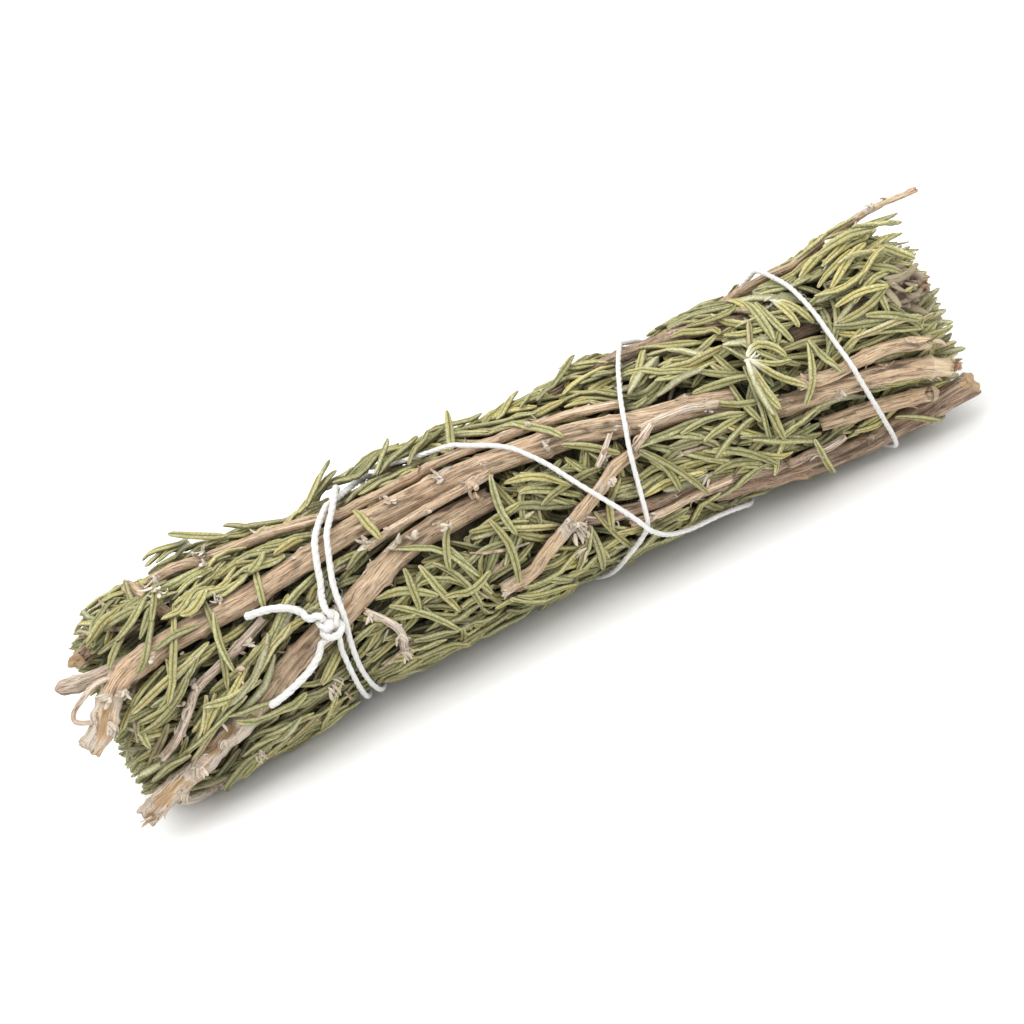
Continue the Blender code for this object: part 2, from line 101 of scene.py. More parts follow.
# A Catmull-Rom curve through the points: a cubic between each two, with the slopes of their neighbours
def smoothLine(points, step):
    points = np.asarray(points, float)
    ends = np.vstack([2 * points[0] - points[1], points, 2 * points[-1] - points[-2]])
    a, b, c, d = (ends[k:len(ends) - 3 + k, None] for k in range(4))
    t = np.linspace(0, 1, 24, endpoint=False)[None, :, None]
    fine = 0.5 * (2 * b + (c - a) * t + (2 * a - 5 * b + 4 * c - d) * t**2 + (3 * b - a - 3 * c + d) * t**3)
    return evenLine(np.vstack([fine.reshape(-1, points.shape[1]), points[-1:]]), step)


# Evenly spaced angles round a ring, the last one short of the first
def ringAngles(count):
    return np.arange(count) * 2 * math.pi / count


# The least heights that stay on or above the given ones and nowhere fall faster than the slope
def underTents(heights, apart, slope):
    return (heights[None, :] - slope * apart).max(axis=1)


# How far each two entries of a run are apart
def apartAlong(run):
    return np.abs(run[:, None] - run[None, :])


# Camera: it looks along the line from azimuth and elevation, rolled so that the bundle rises to the right
camera = {"azimuth": -6.5, "elevation": 31.0, "roll": 23.64, "distance": 0.70, "lens": 106.2,
          "shiftRight": 0.00144, "shiftUp": 0.00037}


# The camera's place and axes from its angles: back towards it, right and up, turned by the roll
def makeCamera():
    a, e, roll = (math.radians(camera[key]) for key in ("azimuth", "elevation", "roll"))
    back = Vector((math.sin(a) * math.cos(e), -math.cos(a) * math.cos(e), math.sin(e)))
    levelRight = Vector((math.cos(a), math.sin(a), 0))
    levelUp = back.cross(levelRight)
    right = levelRight * math.cos(roll) - levelUp * math.sin(roll)
    up = levelRight * math.sin(roll) + levelUp * math.cos(roll)
    middle = Vector((0, bundle["axisAcross"] * mm, bundle["axisHeight"] * mm))
    aim = middle - right * camera["shiftRight"] - up * camera["shiftUp"]
    data = bpy.data.cameras.new("camera")
    data.lens = camera["lens"]
    data.clip_start = 0.01
    eye = bpy.data.objects.new("camera", data)
    bpy.context.scene.collection.objects.link(eye)
    turn = Matrix((right, up, back)).transposed().to_4x4()
    eye.matrix_world = Matrix.Translation(aim + back * camera["distance"]) @ turn
    bpy.context.scene.camera = eye


makeCamera()
print("camera set")

# Woody stems, from the inside outwards: bark, thickness at both ends, and the route as places
tan, brown, grey = "tan_bark", "brown_bark", "grey_bark"
crossing = {"gaps": 1.4, "slope": 0.3}  # room where two stems cross, in gaps, and how steeply one is lifted over
stemRoutes = {
    "inner_stem_a": (brown, 4.2, 3.6, [(-111, 20, 3.9), (-60, 10, 3.6), (0, 0, 3.6), (60, 0, 3.6), (106, 350, 4.2)]),
    "inner_stem_b": (tan, 3.8, 4.2, [(-107, 140, 4.0), (-60, 125, 3.6), (0, 120, 3.6), (60, 120, 3.6),
        (109, 112, 4.2)]),
    "inner_stem_c": (brown, 4.0, 3.4, [(-105, 255, 4.2), (-60, 245, 3.6), (0, 240, 3.6), (60, 240, 3.6),
        (104, 236, 4.0)]),
    "left_tip_stem": (grey, 3.8, 3.4, [(-112, 26, 20.5), (-106, 29, 20), (-98, 29, 18.5), (-90, 28, 17), (-75, 24, 16),
        (-60, 18, 15.4)]),
    "left_brown_stem": (brown, 3.6, 3.2, [(-105, 13, 20.6), (-99, 4, 19.4), (-91, -4, 17.4), (-76, -12, 16)]),
    "under_stem": (brown, 4.6, 4.0, [(-105, 212, 20.4), (-70, 209, 19.4), (-20, 204, 18.2), (30, 205, 18.2),
        (70, 209, 19.2), (103, 213, 20.4)]),
    "back_lower_stem": (brown, 4.0, 5.0, [(-62, 236, 18.5), (-20, 233, 19.8), (20, 238, 19.6), (60, 242, 19.8),
        (85, 244, 20.8), (105, 246, 21.6)]),
    "back_middle_stem": (tan, 4.6, 3.6, [(-98, 268, 22.4), (-80, 266, 21.8), (-55, 262, 20.2), (-20, 257, 20),
        (12, 262, 19.2), (40, 268, 17.5)]),
    "back_upper_stem": (tan, 5.2, 4.2, [(-109, 298, 22), (-90, 300, 22), (-60, 294, 20.6), (-20, 288, 20.2),
        (20, 294, 20.2), (60, 301, 20.6), (96, 297, 21.6)]),
    "back_top_stem": (tan, 4.4, 3.8, [(-72, 330, 19.4), (-40, 324, 19.6), (0, 318, 19.6), (40, 322, 19.6),
        (70, 331, 20), (100, 336, 21)]),
    "top_right_stem": (brown, 2.8, 3.2, [(14, 330, 18.8), (32, 336, 21.4), (45, 351, 21.6), (52, 356, 21.2),
        (64, 364, 19.4), (80, 368, 18.6)]),
    "dry_curl_stem": (brown, 3.4, 4.8, [(72, 30, 15), (84, 34, 16.2), (93, 39, 18), (99, 43, 20.2), (104, 48, 21.4)]),
    "lower_brown_stem": (brown, 3.0, 3.8, [(10, 87, 18.2), (15, 89, 19.6), (22, 94, 20.2), (29, 98, 20.2),
        (36, 99, 20), (43, 104, 20), (53, 114, 20.4), (60, 118, 20.6)]),
    "lower_right_stem": (brown, 4.2, 5.8, [(42, 124, 18.6), (50, 128, 20), (59, 132, 21.4), (67, 137, 22.3),
        (76, 139, 22.8), (86, 136, 23), (96, 132, 23.2), (107, 126, 23.4)]),
    "lower_left_stem": (tan, 5.4, 5.8, [(-107, 129, 24.8), (-102, 120, 24.6), (-97, 115, 24), (-91, 112, 23.2),
        (-84, 106, 22), (-78, 101, 21.2), (-70, 90, 20.6), (-60, 78, 20), (-51, 70, 19.8), (-41, 60, 19.4),
        (-33, 51, 19), (-26, 45, 18.4), (-16, 41, 17), (-6, 39, 15.6)]),
    "right_thick_stem": (tan, 4.6, 5.2, [(60, 78, 17.4), (67, 79, 19.6), (71, 79, 20.6), (76, 81, 21.4), (86, 86, 22),
        (96, 94, 22.2), (103, 105, 22.4)]),
    "main_stem": (tan, 5.6, 6.0, [(-111, 68, 24.6), (-107, 63, 24.4), (-104, 55, 24), (-99, 44, 23.6), (-90, 37, 23),
        (-77, 33, 22), (-64, 30, 21.2), (-52, 26, 20.8), (-44, 22, 20.8), (-36, 20, 20.8), (-22, 20, 20.8),
        (-12, 20, 20.8), (-3, 22, 20.8), (8, 27, 20.6), (17, 31, 20.4), (26, 38, 20.2), (34, 45, 20), (43, 50, 19.6),
        (54, 59, 18.2)]),
    "right_branch": (tan, 3.2, 3.4, [(68, 67, 20.8), (73, 70, 22), (77, 71, 22.4), (86, 71, 23), (92, 73, 23.8),
        (99, 79, 24)]),
    "right_low_stem": (tan, 3.2, 3.8, [(70, 105, 19.4), (77, 105, 21.2), (84, 107, 22), (94, 115, 22.4),
        (97, 118, 22.6)]),
    "mid_branch": (tan, 3.4, 3.0, [(-13, 101, 21.6), (-5, 98, 21.8), (-1, 91, 21.9), (8, 80, 21.8), (17, 69, 21.6),
        (22, 62, 21.2), (29, 59, 20)]),
    "upper_left_stub": (tan, 3.4, 3.2, [(-88, -28, 24.8), (-87, -16, 24), (-85, -3, 21.6), (-82, 8, 18.6)]),
    "upper_stem": (tan, 2.8, 2.2, [(-83, -24, 23.8), (-76, -26, 23.8), (-67, -12, 23.4), (-58, -11, 22.8),
        (-50, -6, 22.5), (-43, 0, 22.2), (-34, 9, 22), (-23, 6, 22.2), (-12, 11, 22.2), (0, 11, 22.2), (9, 13, 22),
        (17, 19, 22), (23, 23, 22), (30, 28, 21.4)]),
    "lower_thin_twig": (tan, 2.0, 1.8, [(20, 98, 21.6), (26, 100, 22.6), (33, 100, 23), (39, 100, 23.2),
        (45, 101, 23.2)]),
    "lower_side_twig": (grey, 2.2, 1.8, [(59, 112, 22.4), (64, 115, 22.6), (69, 118, 22.8), (74, 119, 22)]),
    "grey_twig": (grey, 2.0, 2.4, [(-98, 95, 22.4), (-93, 88, 22), (-88, 76, 22), (-84, 66, 22), (-78, 61, 21.6),
        (-71, 55, 21), (-64, 47, 19.4)]),
    "pale_lower_twig": (grey, 2.2, 2.6, [(-99, 129, 24.8), (-97, 140, 25), (-91, 147, 25), (-84, 147, 24.6),
        (-78, 143, 23.6), (-68, 136, 21.4)]),
    "woolly_twig": (grey, 1.6, 2.0, [(-43, 70, 23.8), (-40, 79, 23.8), (-38, 90, 23.8), (-39, 105, 23.6)]),
    "over_twig": (tan, 2.0, 2.4, [(-36, 39, 23.4), (-29, 36, 23.2), (-19, 34, 23), (-12, 33, 22.8), (-4, 32, 22.8)]),
    "poking_twig": (tan, 2.2, 1.6, [(64, 338, 19.8), (75, 339, 20.6), (84, 343, 22.8), (92, 350, 25.6), (103, 363, 30),
        (112, 373, 33.4)]),
}

# Radius of the leaves along the bundle: fanned ends, waists where the string pulls them in
leafProfile = [
    (-106, 18.5), (-101, 23.5), (-92, 25.2), (-70, 25.0), (-60, 23.4), (-51, 21.0),
    (-38, 21.0), (-25, 21.6), (0, 21.4), (25, 21.4), (45, 21.8), (60, 22.6),
    (72, 21.8), (83, 21.6), (91, 24.6), (99, 24.6), (107, 18.5),
]
underside = {"radius": 21.8, "clock": 40.0, "span": (-56.0, 88.0)}  # clear of the floor for the string


# Leaf radius at a place: read off the profile, held in underneath, and cut level by the floor
def leafRadius(x, clock):
    radius = np.interp(x, *zip(*leafProfile))
    down = np.abs((np.asarray(clock, float) + 180) % 360 - 180)
    below = (down > 180 - underside["clock"]) & (x > underside["span"][0]) & (x < underside["span"][1])
    radius = np.where(below, np.minimum(radius, underside["radius"]), radius)
    fall = -np.cos(np.radians(down))
    floorLimit = bundle["axisHeight"] / np.maximum(fall, tiny)
    return np.where(fall > 0, np.minimum(radius, floorLimit), radius)


# Least radius at each place that keeps it a reach away from a line: the far side of a circle round it
def clearanceRadius(places, line, reach):
    spots = toPlaces(line)
    reach = np.broadcast_to(reach, len(line))
    dx = spots[None, :, 0] - places[:, None, 0]
    turn = np.radians(spots[None, :, 1] - places[:, None, 1])
    left = reach**2 - dx**2 - (spots[:, 2] * np.sin(turn))**2
    outer = spots[:, 2] * np.cos(turn) + np.sqrt(np.maximum(left, 0))
    return np.where((left > 0) & (np.cos(turn) > 0), outer, 0).max(axis=1)


# Each stem's centre line and half thickness. Where it crosses a stem laid before, it is lifted to the
# needed radius, with an even slope either side of the crossing
def settledStems():
    done = {}
    for name, (bark, first, last, route) in stemRoutes.items():
        line = smoothLine(toSpace(route), 1.0)
        half = np.linspace(first, last, len(line)) / 2
        places = toPlaces(line)
        needed = np.zeros(len(places))
        for other, (otherLine, otherHalf) in done.items():
            if other.startswith("inner"):
                continue
            reach = half.max() + otherHalf + crossing["gaps"] * bundle["gap"]
            outer = clearanceRadius(places, otherLine, reach)
            crosses = outer - places[:, 2] < reach.mean()
            needed = np.where(crosses, np.maximum(needed, outer), needed)
        lift = np.maximum(needed - places[:, 2], 0)
        lift = underTents(lift, apartAlong(runAlong(toSpace(places))), crossing["slope"])
        places[:, 2] += np.maximum(lift, 0)
        done[name] = (toSpace(places), half)
    return done


stems = settledStems()
outerStems = [name for name in stems if not name.startswith("inner")]
print("stem routes:", len(stems))

# String: one length from tail to tail, wound as (x, clock) and knotted at the front
twine = {
    "thickness": 1.5, "gaps": 1.7,  # room round it, in gaps
    "winding": [(-50.9, 55), (-49.1, 45), (-47.6, 33), (-45.2, 20), (-41.8, 8), (-37, -5), (-31, -25), (-23, -54),
        (-14, -90), (-6, -125), (2, -160), (9, -195), (15, -228), (20, -247), (23, -262), (24.5, -280), (26, -300),
        (28.5, -320), (32, -343), (36.5, -370), (43, -400), (50, -435), (58, -470), (67, -510), (76, -545), (83, -568),
        (85, -585), (83, -610), (80.5, -640), (79.3, -664), (78.8, -682), (78, -700), (77, -718), (75, -738),
        (70.5, -765), (65, -800), (60, -838), (56, -875), (52, -908), (48, -936), (41, -949), (33, -955), (27, -965),
        (23, -979), (19.5, -993), (13, -1017), (7.5, -1040), (1, -1057), (-9, -1071), (-19.5, -1093), (-28, -1128),
        (-34, -1164), (-38.5, -1200), (-42, -1235), (-45.2, -1272), (-48, -1308), (-49.4, -1335), (-49, -1356),
        (-47.8, -1373), (-46.8, -1390), (-44.9, -1405), (-42.6, -1418), (-39.4, -1430), (-36.4, -1444), (-35.4, -1465),
        (-37, -1500), (-40.6, -1545), (-45, -1590), (-48.8, -1628), (-51, -1665), (-51.7, -1696), (-51.4, -1721)],
    "knot": (-51.4, 67.0), "knotLift": 1.1, "tailLift": 0.8,
    "knotLoop": [  # along the bundle, up the string, height
        (-3.6, 3.2, 0.4), (-2.0, 3.0, 0.8), (-0.9, 2.2, 1.0), (-1.4, 0.1, -1.0), (-2.2, -1.3, 0.0),
        (-1.3, -2.4, 1.0), (0.0, -2.7, 1.1), (1.3, -2.4, 1.0), (2.2, -1.3, 0.0), (1.4, 0.1, -1.0),
        (0.9, 2.2, 1.0), (0.6, 3.8, 0.4)],
    "upperTail": [(-67.5, 45), (-63, 46), (-60, 48), (-57.5, 51), (-55.8, 55)],
    "lowerTail": [(-56.6, 79), (-59.5, 83), (-63.5, 86), (-67.5, 88), (-71.5, 89)],
    "step": 2.0, "fineStep": 0.25,
    "rounds": 260,  # of tightening
    "turnBefore": 198,  # degrees of winding from which it counts as laid before
    "clockShare": 0.4,  # millimetres for each degree, so that one step measures both
}


# Radius at which the string's middle lies on the leaves or on any stem below it
def surfaceRadii(laid):
    reach = twine["thickness"] / 2 + twine["gaps"] * bundle["gap"]
    radii = leafRadius(laid[:, 0], laid[:, 1]) + reach
    places = np.column_stack([laid, radii])
    for line, half in stems.values():
        radii = np.maximum(radii, clearanceRadius(places, line, reach + half))
    return radii


# Radii of a tight string: each point is raised to the middle of its neighbours until none sags
def tightened(laid, allowed):
    radii = allowed.copy()
    for _ in range(twine["rounds"]):
        space = toSpace(np.column_stack([laid, radii]))
        middle = toPlaces((space[:-2] + space[2:]) / 2)[:, 2]
        radii[1:-1] = np.maximum(allowed[1:-1], middle)
    return radii


# Pulls the winding tight a quarter turn at a time, each laid over the turns before it
def taut(laid, base):
    clock, allowed, radii = laid[:, 1], base.copy(), base.copy()
    for _ in range(2):
        for start in np.arange(clock[0], clock[-1], -90):
            now = (clock <= start) & (clock > start - 90)
            earlier = clock >= start + twine["turnBefore"]
            if earlier.any():
                places = np.column_stack([laid, radii])
                below = evenLine(toSpace(places[earlier]), twine["step"] / 2)
                over = clearanceRadius(places[now], below, twine["thickness"] + twine["gaps"] * bundle["gap"])
                allowed[now] = np.maximum(base[now], over)
            radii = tightened(laid, allowed)
    return np.column_stack([laid, radii])


# Half of the knot, on the bundle's surface: side 1 opens upwards, -1 is its mirror with heights reversed
def knotHalf(baseRadius, side):
    x, clock = twine["knot"]
    perMm = math.degrees(1 / baseRadius)
    return toSpace([(x + along, clock - side * up * perMm, baseRadius + side * height)
                    for along, up, height in twine["knotLoop"]])


# A loose end, held a little clear of what it lies over
def tailLine(route):
    laid = smoothLine(route, twine["step"])
    lifted = surfaceRadii(laid) + twine["tailLift"]
    bridge = underTents(lifted, apartAlong(np.arange(len(laid)) * twine["step"]), crossing["slope"])
    return toSpace(np.column_stack([laid, bridge]))


# The whole string: tail, half the knot, the winding, the other half and tail, as one smooth line
def stringLine():
    share = twine["clockShare"]
    laid = smoothLine([(x, clock * share) for x, clock in twine["winding"]], twine["step"])
    laid[:, 1] /= share
    winding = taut(laid, surfaceRadii(laid))
    knotBase = surfaceRadii(np.array([twine["knot"]]))[0] + twine["knotLift"]
    knotBase = max(knotBase, winding[:3, 2].max(), winding[-3:, 2].max())
    route = np.vstack([
        tailLine(twine["upperTail"]), knotHalf(knotBase, 1), toSpace(winding)[1:-1],
        knotHalf(knotBase, -1)[::-1], tailLine(twine["lowerTail"])])
    return smoothLine(route, twine["fineStep"])


stringRun = stringLine()
print("string length in mm:", round(float(runAlong(stringRun)[-1]), 1))

# The pile: the outer surface so far as a radius for each cell of x and clock, and the room left above it
pile = {
    "cell": 0.45, "from": -116.0, "to": 116.0, "round": 320,
    "flatFrom": 112,  # the leaf profile goes on level from here to the ends
    "floor": 23.7, "front": 28.0, "back": 24.7,  # how far needles reach down, forwards and back from the axis
    "proud": 0.5,  # the first layer over the leaf profile
    "mounds": [  # where needles stand prouder: x, clock, reach along, reach round, height
        (-58, -50, 16, 20, 2.9), (-20, -40, 24, 32, 1.8), (24, -42, 22, 40, 0.8), (100, 8, 10, 20, 2.2)],
    "endClock": [0, 25, 60, 90, 125, 180, 270, 340, 360],  # and where they end along x at each clock
    "leftEnd": [-105, -104, -104, -105, -106, -108, -108, -106, -105],
    "rightEnd": [111, 106, 102.5, 105, 107, 108, 108, 110, 111],
    "stemRoom": 0.25, "stringRoom": 0.2,  # left free round stems and string
    "rodStep": 0.3, "chords": 17,
}
pile["columns"] = int((pile["to"] - pile["from"]) / pile["cell"])
pileX = pile["from"] + (np.arange(pile["columns"]) + 0.5) * pile["cell"]
pileClock = (np.arange(pile["round"]) + 0.5) * 360 / pile["round"]


# The cell of each place: x counted in cells from the left, the clock in shares of a turn
def pileCells(x, clock):
    row = np.clip(np.asarray((x - pile["from"]) / pile["cell"]).astype(int), 0, pile["columns"] - 1)
    return row, np.asarray(clock * pile["round"] / 360).astype(int) % pile["round"]


# Under and over a round rod: the rod's line at each cell, less and plus the half chord at its distance
def rodShadow(line, half, spread):
    low = np.full((pile["columns"], pile["round"]), np.inf)
    high = np.zeros((pile["columns"], pile["round"]))
    fine = evenLine(np.column_stack([line, half]), pile["rodStep"])
    middle, reach = fine[:, :3], fine[:, 3] + spread
    sideways = unit(np.cross(unit(np.gradient(middle, axis=0)), outwardAt(toPlaces(middle)[:, 1])))
    for side in np.linspace(-1, 1, pile["chords"]):
        chord = np.sqrt(np.maximum(reach**2 * (1 - side**2), 0))
        points = toPlaces(middle + sideways * (reach * side)[:, None])
        cells = pileCells(points[:, 0], points[:, 1])
        np.minimum.at(low, cells, points[:, 2] - chord)
        np.maximum.at(high, cells, points[:, 2] + chord)
    return low, high


inside = np.clip(pileX, -pile["flatFrom"], pile["flatFrom"])[:, None]
forwards, upwards = np.sin(np.radians(pileClock)), np.cos(np.radians(pileClock))
sideRoom = np.where(forwards > 0, pile["front"], pile["back"]) / np.maximum(np.abs(forwards), tiny)
edgeRadius = np.minimum(sideRoom, pile["floor"] / np.maximum(-upwards, tiny))[None, :] + 0 * inside
shadows = {name: rodShadow(line, half, pile["stemRoom"]) for name, (line, half) in stems.items()}
stemTops = np.max([shadows[name][1] for name in outerStems if name != "poking_twig"], axis=0)
stringLow, stringHigh = rodShadow(stringRun, np.full(len(stringRun), twine["thickness"] / 2), pile["stringRoom"])


# Top of the leaves: the profile and a height above it, with a soft mound at each prouder place
def leafTops(proud):
    tops = leafRadius(inside, pileClock[None, :]) + proud
    for x, clock, along, around, high in pile["mounds"]:
        turn = (pileClock - clock + 180) % 360 - 180
        tops = tops + high * np.exp(-((inside - x) / along)**2 - (turn / around)**2)
    return tops


# The ceiling for needles: the bundle's edges, and whichever is lowest of the string and the named stems
def roomBelow(names):
    return np.min([edgeRadius, stringLow] + [shadows[name][0] for name in names], axis=0)


height = np.full(stringLow.shape, bundle["coreRadius"])
leafTop, ceiling = leafTops(pile["proud"]), roomBelow(outerStems)
print("pile ready")

# Needles: dried leaves with rolled edges, laid one on another
needle = {
    "length": (12.5, 20.5),
    "width": (1.6, 2.2),
    "thick": (1.0, 1.3),
    "bend": 0.48,  # how far a needle turns sideways from foot to tip, in radians, and how unevenly
    "wave": 0.10,
    "hooked": 0.18,  # shares of needles with a hooked tip and with one that stands off
    "lifted": 0.12,
    "hook": 0.9,
    "lift": (1.0, 2.8),
    "climb": 0.34,  # steepest rise over what lies below
    "stack": 0.36,  # height that a needle adds above its middle, as a share of its thickness
    "springs": 0.25,  # share of its straightness that a needle keeps where it crosses the round bundle
    "roll": 0.35,
    "turned": 0.05,  # share that shows its underside
    "steps": 32,  # along the needle, for laying it
    "leastRadius": 10.0,
}
fineT = np.linspace(0, 1, needle["steps"] + 1)
fineApart = apartAlong(fineT)
sideShare = np.array([-0.42, 0.0, 0.42])[:, None]  # where it is felt for, in shares of its width
topShare = np.array([0.2, 1.0, 0.2])[:, None]  # and how high it stands there
peaked, even = np.array([1, 2, 3, 4, 5, 4, 3, 2, 1]) / 25, np.full(9, 1 / 9)
laidNeedles, laidTwiglets = [], []


# Values evened out along the needle by nine weights, the ends carried on
def softened(values, weights):
    return np.convolve(np.pad(values, 4, mode="edge"), weights, "valid")


# One needle: it turns sideways along its length, rests on the highest things below it, falls away at its
# climb, and may lift its tip; the room above is tested first, and its own top is added to the pile
def layNeedle(laid, x, clock, heading, size, bends, tint):
    length, width, thick = size
    bend, wave, hook, tipLift = bends
    turn = heading + bend * (fineT - 0.5) + wave * np.sin(2 * math.pi * fineT) + hook * fineT**3
    step, half = length / needle["steps"], needle["steps"] // 2
    radius = max(height[pileCells(x, clock)], needle["leastRadius"])
    along = x + np.cumsum(np.cos(turn)) * step
    around = np.cumsum(np.sin(turn)) * step
    xs = along - np.sin(turn) * sideShare * width
    clocks = clock + np.degrees((around + np.cos(turn) * sideShare * width) / radius)
    leftEnd, rightEnd = (np.interp(clocks[1, half] % 360, pile["endClock"], pile[side])
                         for side in ("leftEnd", "rightEnd"))
    if xs.min() < leftEnd or xs.max() > rightEnd:
        return
    cells = pileCells(xs, clocks)
    below = height[cells]
    rest = np.maximum(below[1], (below[0] + below[2]) / 2)
    level = softened(underTents(rest, fineApart, needle["climb"] * length), peaked)
    level += needle["springs"] * (around - around[half])**2 / (2 * radius) + tipLift * fineT**2
    level += thick * needle["stack"]
    room = np.minimum(ceiling[cells], leafTop[cells] + tipLift * fineT**2)
    if (level + thick * 0.45 > room).any():
        return
    tilt = softened(np.clip((below[2] - below[0]) / (0.84 * width), -0.6, 0.6), even)
    np.maximum.at(height, cells, level + thick * needle["stack"] * topShare)
    midClock = clock + np.degrees(around / radius)
    roll = rng.normal(0, needle["roll"]) + (math.pi if rng.random() < needle["turned"] else 0)
    laid.append({"along": along, "clock": midClock, "level": level, "tilt": tilt, "width": width, "thick": thick,
                 "roll": roll, "tint": tint})


# Mean direction of the sprigs' needles over the bundle, in degrees from +x towards a growing clock
grain = {
    "x": [-106, -80, -55, -35, -15, 10, 35, 60, 85, 107],
    "front": [-12, -22, -12, 18, 55, 58, 42, 34, 22, 8],
    "back": [8, 20, 34, 26, -18, -38, -30, 24, 30, 10],
    "middle": 62,  # clock of the front's middle
}


# The direction at a place: the front's and the back's, each by the cosine of the clock from its middle
def grainAngle(x, clock):
    face = np.cos(np.radians(clock - grain["middle"]))
    front = np.interp(x, grain["x"], grain["front"]) * max(face, 0)**0.7
    back = np.interp(x, grain["x"], grain["back"]) * max(-face, 0)**0.7
    return front + back


# Fans spread from one node; combs step along their twig, all needles to one side. Angles are in degrees
# for the grain and in radians for the rest, lengths in millimetres
fans = {
    "count": 3600, "needles": (3, 8), "ends": (-109, 109), "tried": 3,
    "stray": 20, "against": 0.2, "againstStray": 30,  # off the grain, and the share that lies against it
    "toLeftAt": [-90, -50, 60, 90], "toLeft": [0.85, 0.45, 0.4, 0.1],  # share that points left, along x
    "combs": 0.55, "combOpen": (0.05, 0.2), "fanOpen": (0.3, 0.8), "spacing": (1.7, 2.8), "fanFoot": 0.8,
    "twigLean": (0.35, 0.9), "twigged": 0.16,  # share of fans that lie on a bare twiglet
    "twigLong": (9, 20), "twigThick": (0.9, 1.5), "radius": 20, "footStray": 0.6, "turnStray": 0.12,
}


# Of a few places tried, the one with the most room above the pile
def roomyPlace():
    xs = rng.uniform(*fans["ends"], fans["tried"])
    clocks = rng.uniform(0, 360, fans["tried"])
    cells = pileCells(xs, clocks)
    best = np.argmax(np.minimum(ceiling[cells], leafTop[cells]) - height[cells])
    return xs[best], clocks[best]


# Yellowness, brightness and dryness of a fan, each from 0 to 1; the tip on top near the middle has yellowed
def fanTint(x, clock):
    yellowed = math.exp(-((x - 32) / 20)**2) * max(math.cos(math.radians(clock - 5)), 0)**2
    yellow = rng.beta(1.6, 3.0) + rng.uniform(0.0, 0.6) * yellowed
    return np.array([yellow, rng.uniform(0.15, 0.85), rng.beta(0.9, 7.0)])


# Length, width and thickness of one needle of a fan
def needleSize(length):
    return length * rng.uniform(0.8, 1.08), rng.uniform(*needle["width"]), rng.uniform(*needle["thick"])


# Its bend, its wave, how its tip hooks, and how high its tip stands off
def needleBends(bend):
    hook = rng.normal(0, needle["hook"]) if rng.random() < needle["hooked"] else 0
    lift = rng.uniform(*needle["lift"]) if rng.random() < needle["lifted"] else rng.exponential(0.35)
    return bend + rng.normal(0, 0.16), rng.normal(0, needle["wave"]), hook, lift


# One fan about a place: each needle's foot steps along the twig and its heading turns by its share of the fan
def layFan(x, clock):
    angle = grainAngle(x, clock) + rng.normal(0, fans["stray"])
    if rng.random() < fans["against"]:
        angle = -angle + rng.normal(0, fans["againstStray"])
    toLeft = rng.random() < np.interp(x, fans["toLeftAt"], fans["toLeft"])
    heading = math.radians(angle + (180 if toLeft else 0))
    count = rng.integers(*fans["needles"])
    comb = rng.random() < fans["combs"]
    fanned = rng.uniform(*fans["combOpen" if comb else "fanOpen"])
    length = rng.uniform(*needle["length"])
    bend = rng.normal(0, needle["bend"])
    spacing = rng.uniform(*fans["spacing"])
    twig = heading + rng.choice([-1, 1]) * rng.uniform(*fans["twigLean"])
    tint = fanTint(x, clock)
    footX = x - 0.5 * length * math.cos(heading)
    footRound = -0.5 * length * math.sin(heading)
    if rng.random() < fans["twigged"]:
        long = rng.uniform(*fans["twigLong"])
        layNeedle(laidTwiglets, footX - 0.5 * long * math.cos(twig),
                  clock + math.degrees((footRound - 0.5 * long * math.sin(twig)) / fans["radius"]), twig,
                  (long, *[rng.uniform(*fans["twigThick"])] * 2), (rng.normal(0, 0.25), 0.05, 0, 0), tint)
    for k in range(count):
        share = (k + 0.5) / count - 0.5
        stepOut = spacing * count * share if comb else fans["fanFoot"] * share
        baseX = footX + stepOut * math.cos(twig) + rng.normal(0, fans["footStray"])
        rise = footRound + stepOut * math.sin(twig) + rng.normal(0, fans["footStray"])
        layNeedle(laidNeedles, baseX, clock + math.degrees(rise / fans["radius"]),
                  heading + fanned * share * 2 + rng.normal(0, fans["turnStray"]), needleSize(length),
                  needleBends(bend), np.clip(tint + rng.normal(0, 0.12, 3), 0, 1))


for _ in range(fans["count"]):
    layFan(*roomyPlace())

# A looser layer over them, which also crosses the stems that lie deep in the leaves
loose = {"fans": 2100, "proud": 1.5, "overStem": 1.7, "nearStems": 0.45, "stray": (3, 8),
         "crossed": ["left_brown_stem", "under_stem", "back_lower_stem", "back_middle_stem", "back_upper_stem",
                     "back_top_stem", "top_right_stem", "dry_curl_stem", "lower_brown_stem"]}
leafTop = leafTops(loose["proud"])
ceiling = roomBelow([name for name in outerStems if name not in loose["crossed"]])
for name in loose["crossed"]:
    high = shadows[name][1]
    height = np.maximum(height, high)
    leafTop = np.where(high > 0, np.maximum(leafTop, high + loose["overStem"]), leafTop)
crossings = np.concatenate([toPlaces(stems[name][0]) for name in loose["crossed"]])
for _ in range(loose["fans"]):
    if rng.random() < loose["nearStems"]:
        place = crossings[rng.integers(len(crossings))]
        layFan(place[0] + rng.normal(0, loose["stray"][0]), place[1] + rng.normal(0, loose["stray"][1]))
    else:
        layFan(*roomyPlace())
print("needles laid:", len(laidNeedles), "twiglets:", len(laidTwiglets))

